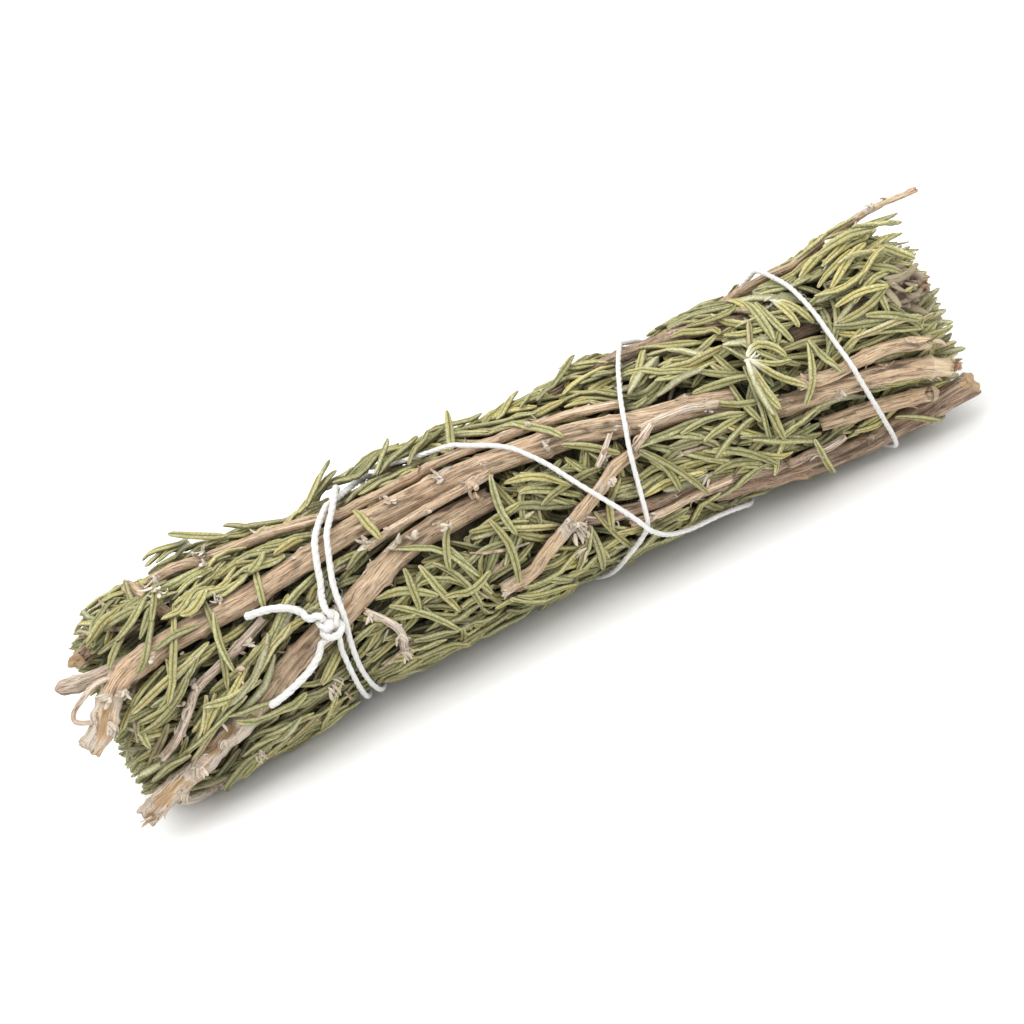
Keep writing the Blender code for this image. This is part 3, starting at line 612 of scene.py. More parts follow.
# Needles that lie over the stems, as (x, clock, tip x, tip clock, bend), in sets by how yellow they are
overStems = [
    ((0.1, 0.5), [(-74, 20, -78, 58, 0.2), (-73, 34, -75, 66, -0.3), (-80, 16, -91, 44, 0.3), (-77, 37, -88, 39, -0.3),
        (-85, 14, -94, 32, 0.4), (-90, 9, -99, 29, -0.2), (-88, -22, -90, 12, 0.2), (-65, 68, -80, 85, 0.3),
        (-80, 92, -63, 95, -0.5), (-81, 87, -66, 89, -0.3), (-60, 14, -63, 36, 0.1), (-65, 142, -78, 136, 0.3),
        (-35, 14, -33, 38, 0.1), (-32, 45, -16, 80, 0.3), (-28, 60, -24, 84, 0.1), (-25, 63, -19, 93, 0.4),
        (-40, 68, -27, 79, 0.2), (-38, 75, -26, 97, 0.3), (-4, 34, -5, 70, -0.2), (-9, 55, -9, 88, 0.3),
        (-17, 45, -22, 66, -0.2), (-31, 58, -32, 80, 0.2), (-26, 84, -14, 82, -0.3), (13, 36, 24, 54, 0.2),
        (28, 60, 33, 89, 0.4), (28, 58, 38, 93, 0.3), (28, 58, 43, 69, 0.2), (28, 57, 44, 60, 0.1),
        (43, 78, 56, 102, 0.3), (50, 79, 65, 99, 0.2), (43, 84, 56, 74, 0.2), (42, 72, 56, 70, 0.1),
        (38, 62, 53, 67, 0.2), (11, 47, 6, 70, 0.2), (59, 52, 58, 84, 0.2), (54, 46, 56, 72, -0.2),
        (56, 88, 70, 86, 0.1), (45, 44, 59, 52, 0.3), (47, 52, 62, 66, -0.2), (56, 28, 67, 62, 0.1),
        (60, 31, 70, 57, -0.1), (67, 4, 67, 37, 0.1), (69, 7, 71, 38, -0.2), (58, 44, 56, 70, 0.1),
        (60, 53, 59, 81, -0.2), (74, 48, 67, 72, 0.2), (74, 47, 77, 67, -0.1), (82, 91, 64, 86, -0.3),
        (75, 99, 87, 89, 0.3), (52, 82, 66, 104, 0.2), (66, 100, 70, 127, 0.1), (-48, -12, -37, 4, -0.3),
        (4, 4, 14, 26, 0.2), (84, 22, 97, 36, 0.2), (80, 28, 94, 32, -0.2), (87, 42, 99, 36, 0.3),
        (78, 22, 92, 38, 0.1), (82, 46, 96, 42, -0.2), (90, 24, 100, 38, 0.2), (76, 34, 90, 44, 0.2),
        (88, 50, 98, 60, 0.2), (-80, 2, -90, 16, 0.2), (-78, 8, -91, 12, -0.2), (-82, 1, -86, 20, 0.2),
        (-79, -2, -92, 4, 0.3), (-84, 12, -97, 8, 0.2), (-86, 2, -98, 12, -0.2), (-91, 2, -101, 12, 0.3),
        (-84, 6, -95, 22, 0.3), (26, 14, 38, 34, -0.2), (70, -14, 84, -4, 0.2), (20, 112, 33, 104, -0.3),
        (86, 118, 99, 132, 0.2)]),
    ((0.7, 1.0), [(82, 24, 95, 22, 0.2), (84, 30, 96, 22, 0.1), (86, 12, 98, 12, -0.2), (83, 38, 95, 42, 0.2),
        (80, 12, 92, 13, 0.3), (88, 22, 99, 28, 0.1), (85, 17, 97, 9, 0.0), (90, 36, 99, 26, 0.3),
        (80, 28, 92, 32, -0.2), (22, -22, 33, -26, 0.2), (26, -12, 37, -18, -0.2), (30, -20, 40, -14, 0.2)]),
    ((0.35, 0.8), [(-56, 16, -66, 17, 0.3), (-60, 19, -70, 22, -0.2), (-64, 13, -73, 18, 0.3), (-66, 20, -76, 24, 0.2),
        (-70, 15, -80, 19, -0.3), (-58, 11, -68, 11, 0.3), (-62, 22, -71, 27, 0.3), (-68, 25, -78, 26, -0.3),
        (-74, 17, -84, 23, 0.2), (-53, 20, -63, 21, 0.3), (-72, 22, -80, 30, 0.4), (-57, 14, -62, 24, 0.4)]),
]
# How they bend and stand, whatever the set
overLook = {"radius": 24.3, "curve": 2.0, "bright": (0.2, 0.75), "dry": 0.1, "lift": 0.3, "uneven": 0.15,
            "wave": 0.08, "proud": 40.0}


# One needle from its foot to its tip: the rise round the bundle is the clock's change at the leaves' radius
def layOver(x, clock, tipX, tipClock, bend, lift=0.0, yellow=(0.1, 0.5)):
    rise = math.radians(tipClock - clock) * overLook["radius"]
    size = (math.hypot(tipX - x, rise), rng.uniform(*needle["width"]), rng.uniform(*needle["thick"]))
    curve = overLook["curve"] * bend + rng.normal(0, overLook["uneven"])
    layNeedle(laidNeedles, x, clock, math.atan2(rise, tipX - x), size,
              (curve, rng.normal(0, overLook["wave"]), 0, lift + rng.exponential(overLook["lift"])),
              np.array([rng.uniform(*yellow), rng.uniform(*overLook["bright"]), overLook["dry"]]))


height = np.maximum(height, stemTops)
leafTop, ceiling = np.full_like(height, overLook["proud"]), roomBelow(["poking_twig"])
for yellow, rows in overStems:
    for row in rows:
        layOver(*row, yellow=yellow)

# Pale young shoots: (x, clock, heading in degrees, how many, length, spread in degrees)
shoots = [(59, 42, 50, 6, 11, 110), (72, 12, 30, 7, 9, 90), (88, 8, 10, 4, 11, 50), (22, -24, 20, 4, 12, 50),
          (-70, -40, 170, 4, 12, 50), (40, 250, 20, 5, 12, 60), (-40, 280, 190, 5, 12, 60), (80, 290, 10, 5, 12, 50),
          (-85, 260, 170, 5, 12, 50)]
shootLook = {"stray": 9, "length": (0.65, 1.15), "width": (1.5, 2.1), "thick": (0.8, 1.2), "foot": (0.6, 1.4),
             "bend": 0.8, "wave": 0.05, "lift": 0.6, "tint": [0.5, 0.65, 2.0]}  # dryness over 1.5 marks a shoot
for x, clock, heading, count, length, fanned in shoots:
    for k in range(count):
        turn = math.radians(heading + fanned * ((k + 0.5) / count - 0.5) + rng.normal(0, shootLook["stray"]))
        size = [rng.uniform(*shootLook[key]) for key in ("length", "width", "thick")]
        size[0] *= length
        ahead, turned = shootLook["foot"]
        layNeedle(laidNeedles, x + ahead * math.cos(turn), clock + turned * math.sin(turn), turn, size,
                  (rng.normal(0, shootLook["bend"]), shootLook["wave"], 0, rng.exponential(shootLook["lift"])),
                  np.array(shootLook["tint"]))

# Needles that lie over the string, and some whose tips stand off the bundle: the last value is the lift
overString = [
    (-26, -18, -9, -24, 0.2, 0.6), (-24, -24, -8, -28, -0.2, 0.4), (-30, -22, -14, -20, 0.2, 0.8),
    (-22, -12, -6, -19, 0.1, 1.0), (-36, -14, -22, -22, 0.2, 0.8), (-38, -22, -24, -28, -0.2, 0.6),
    (-28, -30, -12, -33, 0.2, 0.5), (-20, -30, -5, -30, 0.1, 0.5), (-33, -30, -18, -35, 0.2, 0.5),
    (-42, -20, -30, -24, 0.2, 0.8), (-26, -8, -14, -16, 0.1, 1.5), (-46, -16, -34, -22, 0.2, 1.0),
    (-12, -26, 2, -24, 0.2, 0.8), (-19, 2, -11, -12, 0.2, 1.8), (-9, 4, -5, -12, 0.1, 3.4),
    (-27, -6, -20, -18, -0.1, 2.4), (4, -6, 12, -22, 0.2, 1.8), (14, -4, 27, -16, 0.1, 1.6),
    (-44, -8, -34, -24, 0.2, 2.2), (93, -6, 110, 6, 0.15, 2.6), (89, 6, 107, 6, 0.1, 2.6), (85, 12, 99, 16, 0.15, 1.6),
    (90, -14, 104, -2, 0.2, 2.4), (94, 0, 106, 14, 0.2, 2.2), (95, 12, 105, 24, 0.2, 1.4), (82, -2, 97, 6, 0.1, 1.4),
    (88, -10, 104, 4, 0.3, 2.0), (98, 20, 104, 36, 0.2, 1.2), (-62, -22, -74, -34, 0.2, 2.0),
    (-50, -20, -62, -30, 0.2, 1.6)]
height = np.maximum(height, stringHigh)
ceiling = np.minimum(edgeRadius, shadows["poking_twig"][0])
for row in overString:
    layOver(*row)
print("with those over the stems:", len(laidNeedles))

# Needles that fill the two ends: they lie along the bundle inside it, foot inwards, and stop short of the stems
endFill = {
    "tries": 2600, "foot": (86.0, 97.0), "length": (11.0, 18.0), "radius": (0.8, 20.0), "apart": 1.35,
    "lean": (0.13, 0.2), "drift": 0.22, "reach": (106.5, 108.5), "proud": 0.8, "clear": 0.6, "stemsFrom": 76,
    "dry": 0.35, "dryShare": [0.7, 0.3],  # left green, and dried
    "crowded": 0.75,  # below 1, more of them lie far out
    "leanFrom": 12, "turnFrom": 6,  # radii below which they lean and turn less
    "bowOut": 1.2, "bowRound": 1.5,
}
laidEnds = []


# Each runs outwards along x, leans away from the axis and drifts round it; one that comes too close to a
# stem or has its tip too near another's is left out
def fillEnds():
    tips = np.zeros((0, 3))
    stemPoints = np.vstack([np.column_stack([line, half]) for line, half in stems.values()])
    stemPoints = stemPoints[np.abs(stemPoints[:, 0]) > endFill["stemsFrom"]]
    near, far = endFill["radius"]
    for _ in range(endFill["tries"]):
        side = rng.choice([-1, 1])
        radius = near + (far - near) * rng.uniform(0, 1)**endFill["crowded"]
        clock, length = rng.uniform(0, 360), rng.uniform(*endFill["length"])
        lean = rng.normal(*endFill["lean"]) * min(1, radius / endFill["leanFrom"])
        drift = rng.normal(0, endFill["drift"])
        along = side * (rng.uniform(*endFill["foot"]) + length * fineT * math.cos(lean) * math.cos(drift))
        level = np.abs(radius + length * fineT * math.sin(lean) + rng.normal(0, endFill["bowOut"]) * fineT**2)
        around = length * fineT * math.sin(drift) + rng.normal(0, endFill["bowRound"]) * fineT**2
        midClock = clock + np.degrees(around / max(radius, endFill["turnFrom"]))
        room = leafRadius(along, midClock) + endFill["proud"]
        if np.abs(along).max() > endFill["reach"][int(side > 0)] or (level > room).any():
            continue
        points = toSpace(np.stack([along, midClock, level], -1))[8::6]
        gaps = np.linalg.norm(points[:, None] - stemPoints[None, :, :3], axis=2) - stemPoints[:, 3]
        if gaps.min() < endFill["clear"] or (np.linalg.norm(tips - points[-1], axis=1) < endFill["apart"]).any():
            continue
        tips = np.vstack([tips, points[-1]])
        tint = fanTint(0, 180) + np.array([0, 0, rng.choice([0, endFill["dry"]], p=endFill["dryShare"])])
        laidEnds.append({"along": along, "clock": midClock, "level": level, "tilt": 0 * fineT,
                         "width": rng.uniform(*needle["width"]), "thick": rng.uniform(*needle["thick"]),
                         "roll": rng.uniform(0, 2 * math.pi), "tint": np.clip(tint, 0, 1)})


fillEnds()
print("needles in the ends:", len(laidEnds))


# A piece from arrays: points, faces as quads and triangles, and named values for each point
def newPiece(name, points, faces, material, values=None):
    mesh = bpy.data.meshes.new(name)
    points = points.reshape(-1, 3)
    corners = np.concatenate([kind.ravel() for kind in faces]).astype(np.int32)
    totals = np.concatenate([np.full(len(kind), kind.shape[1]) for kind in faces]).astype(np.int32)
    starts = np.concatenate([[0], np.cumsum(totals)[:-1]]).astype(np.int32)
    mesh.vertices.add(len(points))
    mesh.vertices.foreach_set("co", (points * mm).astype(np.float32).ravel())
    mesh.loops.add(len(corners))
    mesh.loops.foreach_set("vertex_index", corners)
    mesh.polygons.add(len(totals))
    mesh.polygons.foreach_set("loop_start", starts)
    mesh.polygons.foreach_set("loop_total", totals)
    mesh.update(calc_edges=True)
    for key, column in (values or {}).items():
        column = np.asarray(column, np.float32)
        kind, field = ("FLOAT", "value") if column.ndim == 1 else ("FLOAT_VECTOR", "vector")
        mesh.attributes.new(key, kind, "POINT").data.foreach_set(field, column.ravel())
    mesh.shade_smooth()
    mesh.materials.append(material)
    piece = bpy.data.objects.new(name, mesh)
    bpy.context.scene.collection.objects.link(piece)
    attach(piece, "root")
    return piece


# Faces of many tubes at once, for points (tube, ring, around) with a pole after them at each end: quads join
# each ring to the next, and a fan of triangles closes each end; turned is for a ring that runs the other way
def tubeFaces(count, rings, around, turned=False):
    each = rings * around + 2
    ring, k = np.meshgrid(np.arange(rings - 1), np.arange(around), indexing="ij")
    after = (k + 1) % around
    quad = np.stack([ring * around + k, ring * around + after, (ring + 1) * around + after,
                     (ring + 1) * around + k], -1).reshape(-1, 4)
    k = np.arange(around)
    last = (rings - 1) * around
    firstFan = np.stack([np.full(around, rings * around), (k + 1) % around, k], -1)
    lastFan = np.stack([np.full(around, rings * around + 1), last + k, last + (k + 1) % around], -1)
    start = (np.arange(count) * each)[:, None, None]
    faces = (quad[None] + start).reshape(-1, 4), (np.concatenate([firstFan, lastFan])[None] + start).reshape(-1, 3)
    return tuple(kind[:, ::-1] for kind in faces) if turned else faces


# Directions along (.., ring, 3) lines, outwards from the bundle, and sideways, square to each other
def lineFrames(lines, outward):
    forward = unit(np.gradient(lines, axis=-2))
    outward = unit(outward - (outward * forward).sum(-1, keepdims=True) * forward)
    return forward, outward, np.cross(forward, outward)


# Points of tubes carried along lines (tube, ring, 3): each ring is the line's point plus the section's
# offsets sideways and outwards (tube, ring, corner), with a pole a little beyond both ends
def tubePoints(lines, frames, across, above, beyond):
    forward, outward, sideways = frames
    rings = lines[:, :, None] + sideways[:, :, None] * across[..., None] + outward[:, :, None] * above[..., None]
    return np.concatenate([rings.reshape(len(lines), -1, 3), lines[:, :1] - forward[:, :1] * beyond[0],
                           lines[:, -1:] + forward[:, -1:] * beyond[1]], axis=1)


# Points held inside the bundle's box
def inBox(points):
    return np.clip(points, bundle["low"], bundle["high"])


# A needle's section round its middle as (sideways, outwards), how far round from the groove each corner is,
# and its stations along the needle with their widths: full is grooved on top and open underneath
needleDetail = {
    "full": {
        "section": [(0, 0.5), (0.46, 0.95), (1, 0.15), (0.72, -0.75), (0, -0.4), (-0.72, -0.75), (-1, 0.15),
                    (-0.46, 0.95)],
        "across": [0, 0.4, 1.0, 1.5, 2, 1.5, 1.0, 0.4],
        "stations": [0, 2, 7, 13, 19, 25, 30, 32], "widths": [0.42, 0.62, 0.9, 1.0, 1.0, 0.94, 0.7, 0.36]},
    "plain": {
        "section": [(0, 0.9), (0.95, 0.2), (0.5, -0.85), (-0.5, -0.85), (-0.95, 0.2)],
        "across": [0, 0.9, 1.6, 1.6, 0.9],
        "stations": [0, 8, 22, 32], "widths": [0.45, 0.95, 0.95, 0.5]},
    "beyond": (0.15, 0.25), "endAcross": [0.6, 0.6], "endAlong": [0, 1.0],
    "seen": (0.45, 0.1), "glimpsed": 2.6,  # seen: the share that lies less deep than this; glimpsed: its least depth
}


# Depth of places below the top of the pile, counted less towards the open ends, where light reaches in, and less
# towards the right end; it sets how dark the needles' painted shade is
def depthBelow(x, clock, level):
    return (height[pileCells(x, clock)] - level) * np.interp(x, [-106, -90, 30, 90, 106], [0.2, 1, 1, 0.7, 0.2])


# Needles as closed tubes: the section, scaled to each station's width, turned by the tilt and carried
# along the line; a pole closes the blunt tip and the narrow foot
def needlePiece(name, group, detail, material):
    section, across, stations, widths = (
        np.array(needleDetail[detail][key]) for key in ("section", "across", "stations", "widths"))
    columns = {key: np.array([one[key] for one in group]) for key in group[0]}
    places = np.stack([columns[key][:, stations] for key in ("along", "clock", "level")], -1)
    tilt = (columns["tilt"][:, stations] + columns["roll"][:, None])[..., None]
    width = columns["width"][:, None] * widths / 2
    thick = columns["thick"][:, None] * np.minimum(widths * 1.1, 1) / 2
    lines = toSpace(places)
    forward, outward, sideways = lineFrames(lines, outwardAt(places[..., 1]))
    up = outward * np.cos(tilt) - sideways * np.sin(tilt)
    side = sideways * np.cos(tilt) + outward * np.sin(tilt)
    points = tubePoints(lines, (forward, up, side), width[..., None] * section[:, 0],
                        thick[..., None] * section[:, 1], needleDetail["beyond"])
    count, around = len(group), len(section)
    # Painted shade: each needle is coloured darker the deeper it lies
    shadeDepth = depthBelow(*np.moveaxis(places, -1, 0))
    # Painted light: towards the right end the needles' brightness is raised, from nothing up to its full strength
    start, full, strength = needleLook["paintedLightEnd"]
    columns["tint"][:, 1] += np.interp(places[:, 0, 0], (start, full), [0, strength])
    ends = needleDetail["endAcross"], needleDetail["endAlong"]
    values = {
        "across": np.tile(np.append(np.tile(across, len(stations)), ends[0]), count),
        "along": np.tile(np.append(np.repeat(stations / needle["steps"], around), ends[1]), count),
        "shadeDepth": np.concatenate([np.repeat(shadeDepth, around, axis=1), shadeDepth[:, [0, -1]]], axis=1).ravel(),
        "tint": np.repeat(columns["tint"], points.shape[1], axis=0),
    }
    return newPiece(name, inBox(points), tubeFaces(count, len(stations), around), material, values)


# Needles seen from outside get the grooved section, those glimpsed in the dark a plain one,
# and those quite buried are left out
def sortNeedles():
    seen, glimpsed = [], []
    shallow, share = needleDetail["seen"]
    for one in laidNeedles:
        depth = depthBelow(one["along"], one["clock"], one["level"] + one["thick"] * needle["stack"])
        if (depth < shallow).mean() > share:
            seen.append(one)
        elif depth.min() < needleDetail["glimpsed"]:
            glimpsed.append(one)
    return seen, glimpsed


# A node with its settings and inputs; an input that is another node's socket is joined
def addNode(tree, kind, inputs=None, **settings):
    node = tree.nodes.new("ShaderNode" + kind)
    for key, value in settings.items():
        setattr(node, key, value)
    for key, value in (inputs or {}).items():
        if isinstance(value, bpy.types.NodeSocket):
            tree.links.new(value, node.inputs[key])
        else:
            node.inputs[key].default_value = value
    return node


# A new material, its node tree and its shader
def newMaterial(name, roughness):
    material = bpy.data.materials.new(name)
    material.use_nodes = True
    shader = material.node_tree.nodes["Principled BSDF"]
    shader.inputs["Roughness"].default_value = roughness
    shader.inputs["Specular IOR Level"].default_value = 0.3
    return material, material.node_tree, shader


# A value that the mesh carries at its points
def attribute(tree, name, output="Fac"):
    return addNode(tree, "Attribute", attribute_name=name).outputs[output]


# Arithmetic on two or three values
def maths(tree, operation, first, second=0.0, third=0.0):
    return addNode(tree, "Math", {0: first, 1: second, 2: third}, operation=operation).outputs[0]


# A value moved from one range to another, held at the ends
def spread(tree, value, low, high, start=0.0, end=1.0):
    return addNode(tree, "MapRange", {"Value": value, "From Min": low, "From Max": high,
                                      "To Min": start, "To Max": end}).outputs[0]


# Two colours mixed by a share from 0 to 1
def mixed(tree, share, first, second, blend="MIX"):
    return addNode(tree, "Mix", {0: share, 6: first, 7: second}, data_type="RGBA", blend_type=blend).outputs[2]


# Colours laid over one another: each layer's strength goes from nothing to full as its value goes from low to high
def layered(tree, colour, layers, sources, colours):
    for source, low, high, full, over in layers:
        colour = mixed(tree, spread(tree, sources[source], low, high, 0.0, full), colour, colours[over])
    return colour


# Cloudy values about 0.5, finer with a larger scale
def noise(tree, scale, detail=3.0, rough=0.55, vector=None):
    place = vector or addNode(tree, "TexCoord").outputs["Object"]
    return addNode(tree, "TexNoise", {"Vector": place, "Scale": scale, "Detail": detail,
                                      "Roughness": rough}).outputs["Fac"]


# A shader's colour, and its fine relief from a height
def finish(tree, shader, colour, relief, strength, distance):
    tree.links.new(colour, shader.inputs["Base Color"])
    node = addNode(tree, "Bump", {"Height": relief, "Strength": strength, "Distance": distance})
    tree.links.new(node.outputs[0], shader.inputs["Normal"])


# Plain finishes: roughness, a noise's scale, detail and roughness, its range, and the two colours it mixes
plainFinishes = {
    "twigletBark": (0.8, 700.0, 4.0, 0.7, 0.35, 0.65, (0.17, 0.115, 0.075, 1), (0.50, 0.40, 0.30, 1)),
    # painted shade: the near-black tube in the bundle's middle
    "paintedShadeMiddle": (0.9, 350.0, 5.0, 0.7, 0.4, 0.6, (0.035, 0.028, 0.018, 1), (0.12, 0.10, 0.06, 1)),
    "paleFloor": (0.9, 30.0, 2.0, 0.55, 0.0, 1.0, (0.86, 0.86, 0.86, 1), (0.9, 0.9, 0.9, 1)),
}


# A material of one of the plain finishes
def plainMaterial(name):
    roughness, scale, detail, rough, low, high, first, second = plainFinishes[name]
    material, tree, shader = newMaterial(name, roughness)
    share = spread(tree, noise(tree, scale, detail, rough), low, high)
    tree.links.new(mixed(tree, share, first, second), shader.inputs["Base Color"])
    return material


# Needle finish: dust-grey olive, yellower and browner by its tint, with painted shade along the groove and under the
# edges, a painted highlight on the rolled margins, and painted shade the deeper it lies; the entry just before the
# layers gives where along the bundle the painted light on the right end starts, is full, and its strength
needleLook = {
    "green": (0.27, 0.268, 0.105, 1), "yellow": (0.49, 0.41, 0.12, 1), "dry": (0.36, 0.26, 0.145, 1),
    "shadeAndSpeck": (0.075, 0.07, 0.032, 1), "edge": (0.43, 0.42, 0.235, 1), "felt": (0.46, 0.45, 0.28, 1),
    "dust": (0.62, 0.60, 0.45, 1), "foot": (0.50, 0.40, 0.24, 1), "shoot": (0.66, 0.66, 0.54, 1),
    # painted light on the right end: where along the bundle it starts, where it is full, and its strength
    "paintedLightEnd": (35, 95, 0.22),
    "layers": [  # value, from, to, strength, colour
        # Painted light and shade: the rolled margins are coloured paler as a painted highlight, and the near-black
        # colour paints shade along the groove and under the edges; its dark flecks are the needle's own
        ("along", 0.10, 0.0, 0.8, "foot"), ("across", 0.35, 0.6, 0.5, "edge"), ("across", 0.85, 1.1, 0.5, "shadeAndSpeck"),
        ("across", 1.5, 1.9, 1.0, "felt"), ("fleck", 0.54, 0.70, 0.7, "dust"), ("fleck", 0.47, 0.33, 0.55, "shadeAndSpeck"),
        ("across", 0.24, 0.04, 0.85, "shadeAndSpeck")],
}


# The needles' material: each of the looks above in turn, then the painted shade by depth, times the tint's brightness
def needleMaterial():
    look = needleLook
    material, tree, shader = newMaterial("dustyNeedle", 0.62)
    yellowness, brightness, dryness = addNode(tree, "SeparateXYZ", {0: attribute(tree, "tint", "Vector")}).outputs
    across, along = attribute(tree, "across"), attribute(tree, "along")
    age = maths(tree, "ADD", yellowness, spread(tree, noise(tree, 160.0, 2.0), 0.3, 0.7, -0.22, 0.22))
    colour = mixed(tree, spread(tree, age, 0.1, 1.0), look["green"], look["yellow"])
    driedOut = maths(tree, "MULTIPLY", spread(tree, dryness, 0.2, 0.8), spread(tree, dryness, 1.5, 1.1))
    colour = mixed(tree, driedOut, colour, look["dry"])
    fleck = noise(tree, 1900.0, 3.0, 0.75)
    colour = layered(tree, colour, look["layers"], {"along": along, "across": across, "fleck": fleck}, look)
    young = maths(tree, "MULTIPLY", spread(tree, dryness, 1.4, 1.6), spread(tree, along, 0.02, 0.30, 0.85, 0.0))
    colour = mixed(tree, young, colour, look["shoot"])
    # Painted shade: the tint's brightness times a darkening by depth, down to a third at the deepest
    shade = maths(tree, "MULTIPLY", spread(tree, brightness, 0.0, 1.0, 0.62, 1.25),
                  spread(tree, attribute(tree, "shadeDepth"), 0.5, 4.8, 1.0, 0.33))
    shade = addNode(tree, "CombineColor", {0: shade, 1: shade, 2: shade}).outputs[0]
    finish(tree, shader, mixed(tree, 1.0, colour, shade, "MULTIPLY"), fleck, 0.5, 0.00012)
    return material


# Unit waves round and along a rod, each with a whole number of turns round so that the pattern closes
def waves(seed, theta, run, around, along, count=9):
    own = np.random.default_rng(seed)
    total = 0
    for _ in range(count):
        phase = own.integers(*around) * theta + own.uniform(*along) * own.choice([-1, 1]) * run
        total = total + np.cos(phase + own.uniform(0, 2 * math.pi))
    return total / math.sqrt(count / 2)


# How far round two angles are apart, from 0 to half a turn
def turnApart(theta, middle):
    return np.abs((theta - middle + math.pi) % (2 * math.pi) - math.pi)


# A soft hump: 1 at the middle, falling away with the square of the distance over its reach
def hump(distance, reach):
    return np.exp(-(distance / reach)**2)


# Thin curled strips: bark flakes, leaf bases, papery bits and pale shoot tips. A strip leaves its root
# along one direction, turns outwards by its rise and curl and sideways by its swing, and has a flat oval
# section: rows of (root, along, outward, length, width, thick, rise, curl, swing, tone)
strips = {"rings": 6, "corners": 6, "widths": np.array([0.6, 0.95, 1.0, 0.9, 0.65, 0.3]), "beyond": (0.05, 0.1),
          "rows": []}
stripTones = {"wool": (0.55, 0.48, 0.39), "buff": (0.56, 0.43, 0.31), "brown": (0.27, 0.18, 0.12),
              "red": (0.36, 0.19, 0.12), "shoot": (0.62, 0.60, 0.48), "dry": (0.30, 0.255, 0.165),
              "husk": (0.33, 0.27, 0.20), "cream": (0.70, 0.63, 0.53)}


# One more strip, its tone lightened or darkened a little
def addStrip(root, along, outward, length, width, thick, rise, curl, swing, tone):
    colour = np.array(stripTones[tone]) * rng.uniform(0.8, 1.12)
    strips["rows"].append((root, along, outward, length, width, thick, rise, curl, swing, colour))


# All strips as one piece: each line adds up its steps, whose pitch and yaw grow along it
def stripPiece(name, material):
    root, along, outward, length, width, thick, rise, curl, swing, tone = (
        np.array(column) for column in zip(*strips["rows"]))
    t = np.linspace(0, 1, strips["rings"])[None, :]
    along = unit(along)
    outward = unit(outward - (outward * along).sum(1, keepdims=True) * along)
    sideways = np.cross(along, outward)[:, None]
    pitch = (rise[:, None] + curl[:, None] * t)[..., None]
    yaw = (swing[:, None] * t)[..., None]
    along, outward = along[:, None], outward[:, None]
    heading = (along * np.cos(yaw) + sideways * np.sin(yaw)) * np.cos(pitch) + outward * np.sin(pitch)
    step = length[:, None, None] / (strips["rings"] - 1)
    steps = np.cumsum(heading[:, :-1] * step, axis=1)
    lines = root[:, None] + np.concatenate([0 * steps[:, :1], steps], axis=1)
    corner = ringAngles(strips["corners"])
    wide = width[:, None] * strips["widths"] / 2
    thin = thick[:, None] * np.sqrt(strips["widths"]) / 2
    points = tubePoints(lines, lineFrames(lines, outward * np.cos(pitch) - along * np.sin(pitch)),
                        wide[..., None] * np.cos(corner), thin[..., None] * np.sin(corner), strips["beyond"])
    faces = tubeFaces(len(lines), strips["rings"], strips["corners"], turned=True)
    tone = np.repeat(tone, points.shape[1], axis=0)
    return newPiece(name, inBox(points), faces, material, {"tone": tone})


# The strips' finish: each its own tone, with darker specks
def stripMaterial():
    material, tree, shader = newMaterial("flakyBits", 0.85)
    speck = noise(tree, 1500.0, 4.0, 0.7)
    colour = mixed(tree, spread(tree, speck, 0.5, 0.3, 0.0, 0.6), attribute(tree, "tone", "Color"),
                   (0.22, 0.15, 0.10, 1))
    finish(tree, shader, colour, speck, 0.5, 0.0002)
    return material


# Bark. Its step is along a stem, in points of the stem's line, and lengths are in millimetres. Heights and
# depths are shares of the stem's radius; stretch is the fibres' change along the stem against that across it
barkLook = {
    "step": 0.8, "around": 20, "stretch": 0.034,
    "inner": {"step": 3.0, "around": 10},
    "patterns": {  # waves over the skin: added to the seed, turns round, and radians for each millimetre
        "crease": (0, (1, 5), (0.01, 0.09)), "fine": (1, (3, 8), (0.02, 0.2)), "ridge": (2, (2, 8), (0.02, 0.25)),
        "uneven": (3, (0, 3), (0.15, 0.5)), "patch": (4, (0, 4), (0.1, 0.6)), "fluff": (5, (3, 9), (1.0, 3.5)),
        "ragged": (6, (0, 4), (0.3, 1.2)), "crust": (8, (2, 6), (0.6, 2.5))},
    "oval": 0.05, "ovalTurn": 0.03, "ridges": 0.035, "creases": 0.10, "creaseWide": 0.16, "fine": 0.04,
    "fineWide": 0.2, "uneven": 0.03,
    "nodeFirst": (3, 8), "nodeSpacing": (9.0, 15.0), "nodeSwell": 0.10, "nodeLong": 0.9,
    "scarHeight": 0.16, "scarLong": 0.7, "scarWide": 0.42, "woolNode": 0.5,
    "collar": 0.14, "collarAt": 4.5, "collarLong": 0.7,  # round a stem whose end is rounded
    "woolFrom": 2.6, "woolSharp": 1.6, "woolHigh": 0.03, "fluff": 0.05, "crust": 0.04, "crustEdges": (2, 3),
    "ragged": 0.22, "peelEdge": 0.2, "peelDeep": 0.15, "rim": 0.11, "rimAt": 1.1, "rimWide": 0.15, "rimWool": 0.8,
    "splitDeep": 0.3, "splitWide": 0.2, "splitTaper": 4, "splitWander": (0.25, 0.21),
    "basesEach": (1, 4), "baseTones": ["wool", "wool", "buff", "brown"], "hiddenBelow": -0.2,
    "cutRings": (0.86, 0.45), "cutDish": (0.10, -0.05, -0.16),  # the cut face's rings and pole, and their depths
}
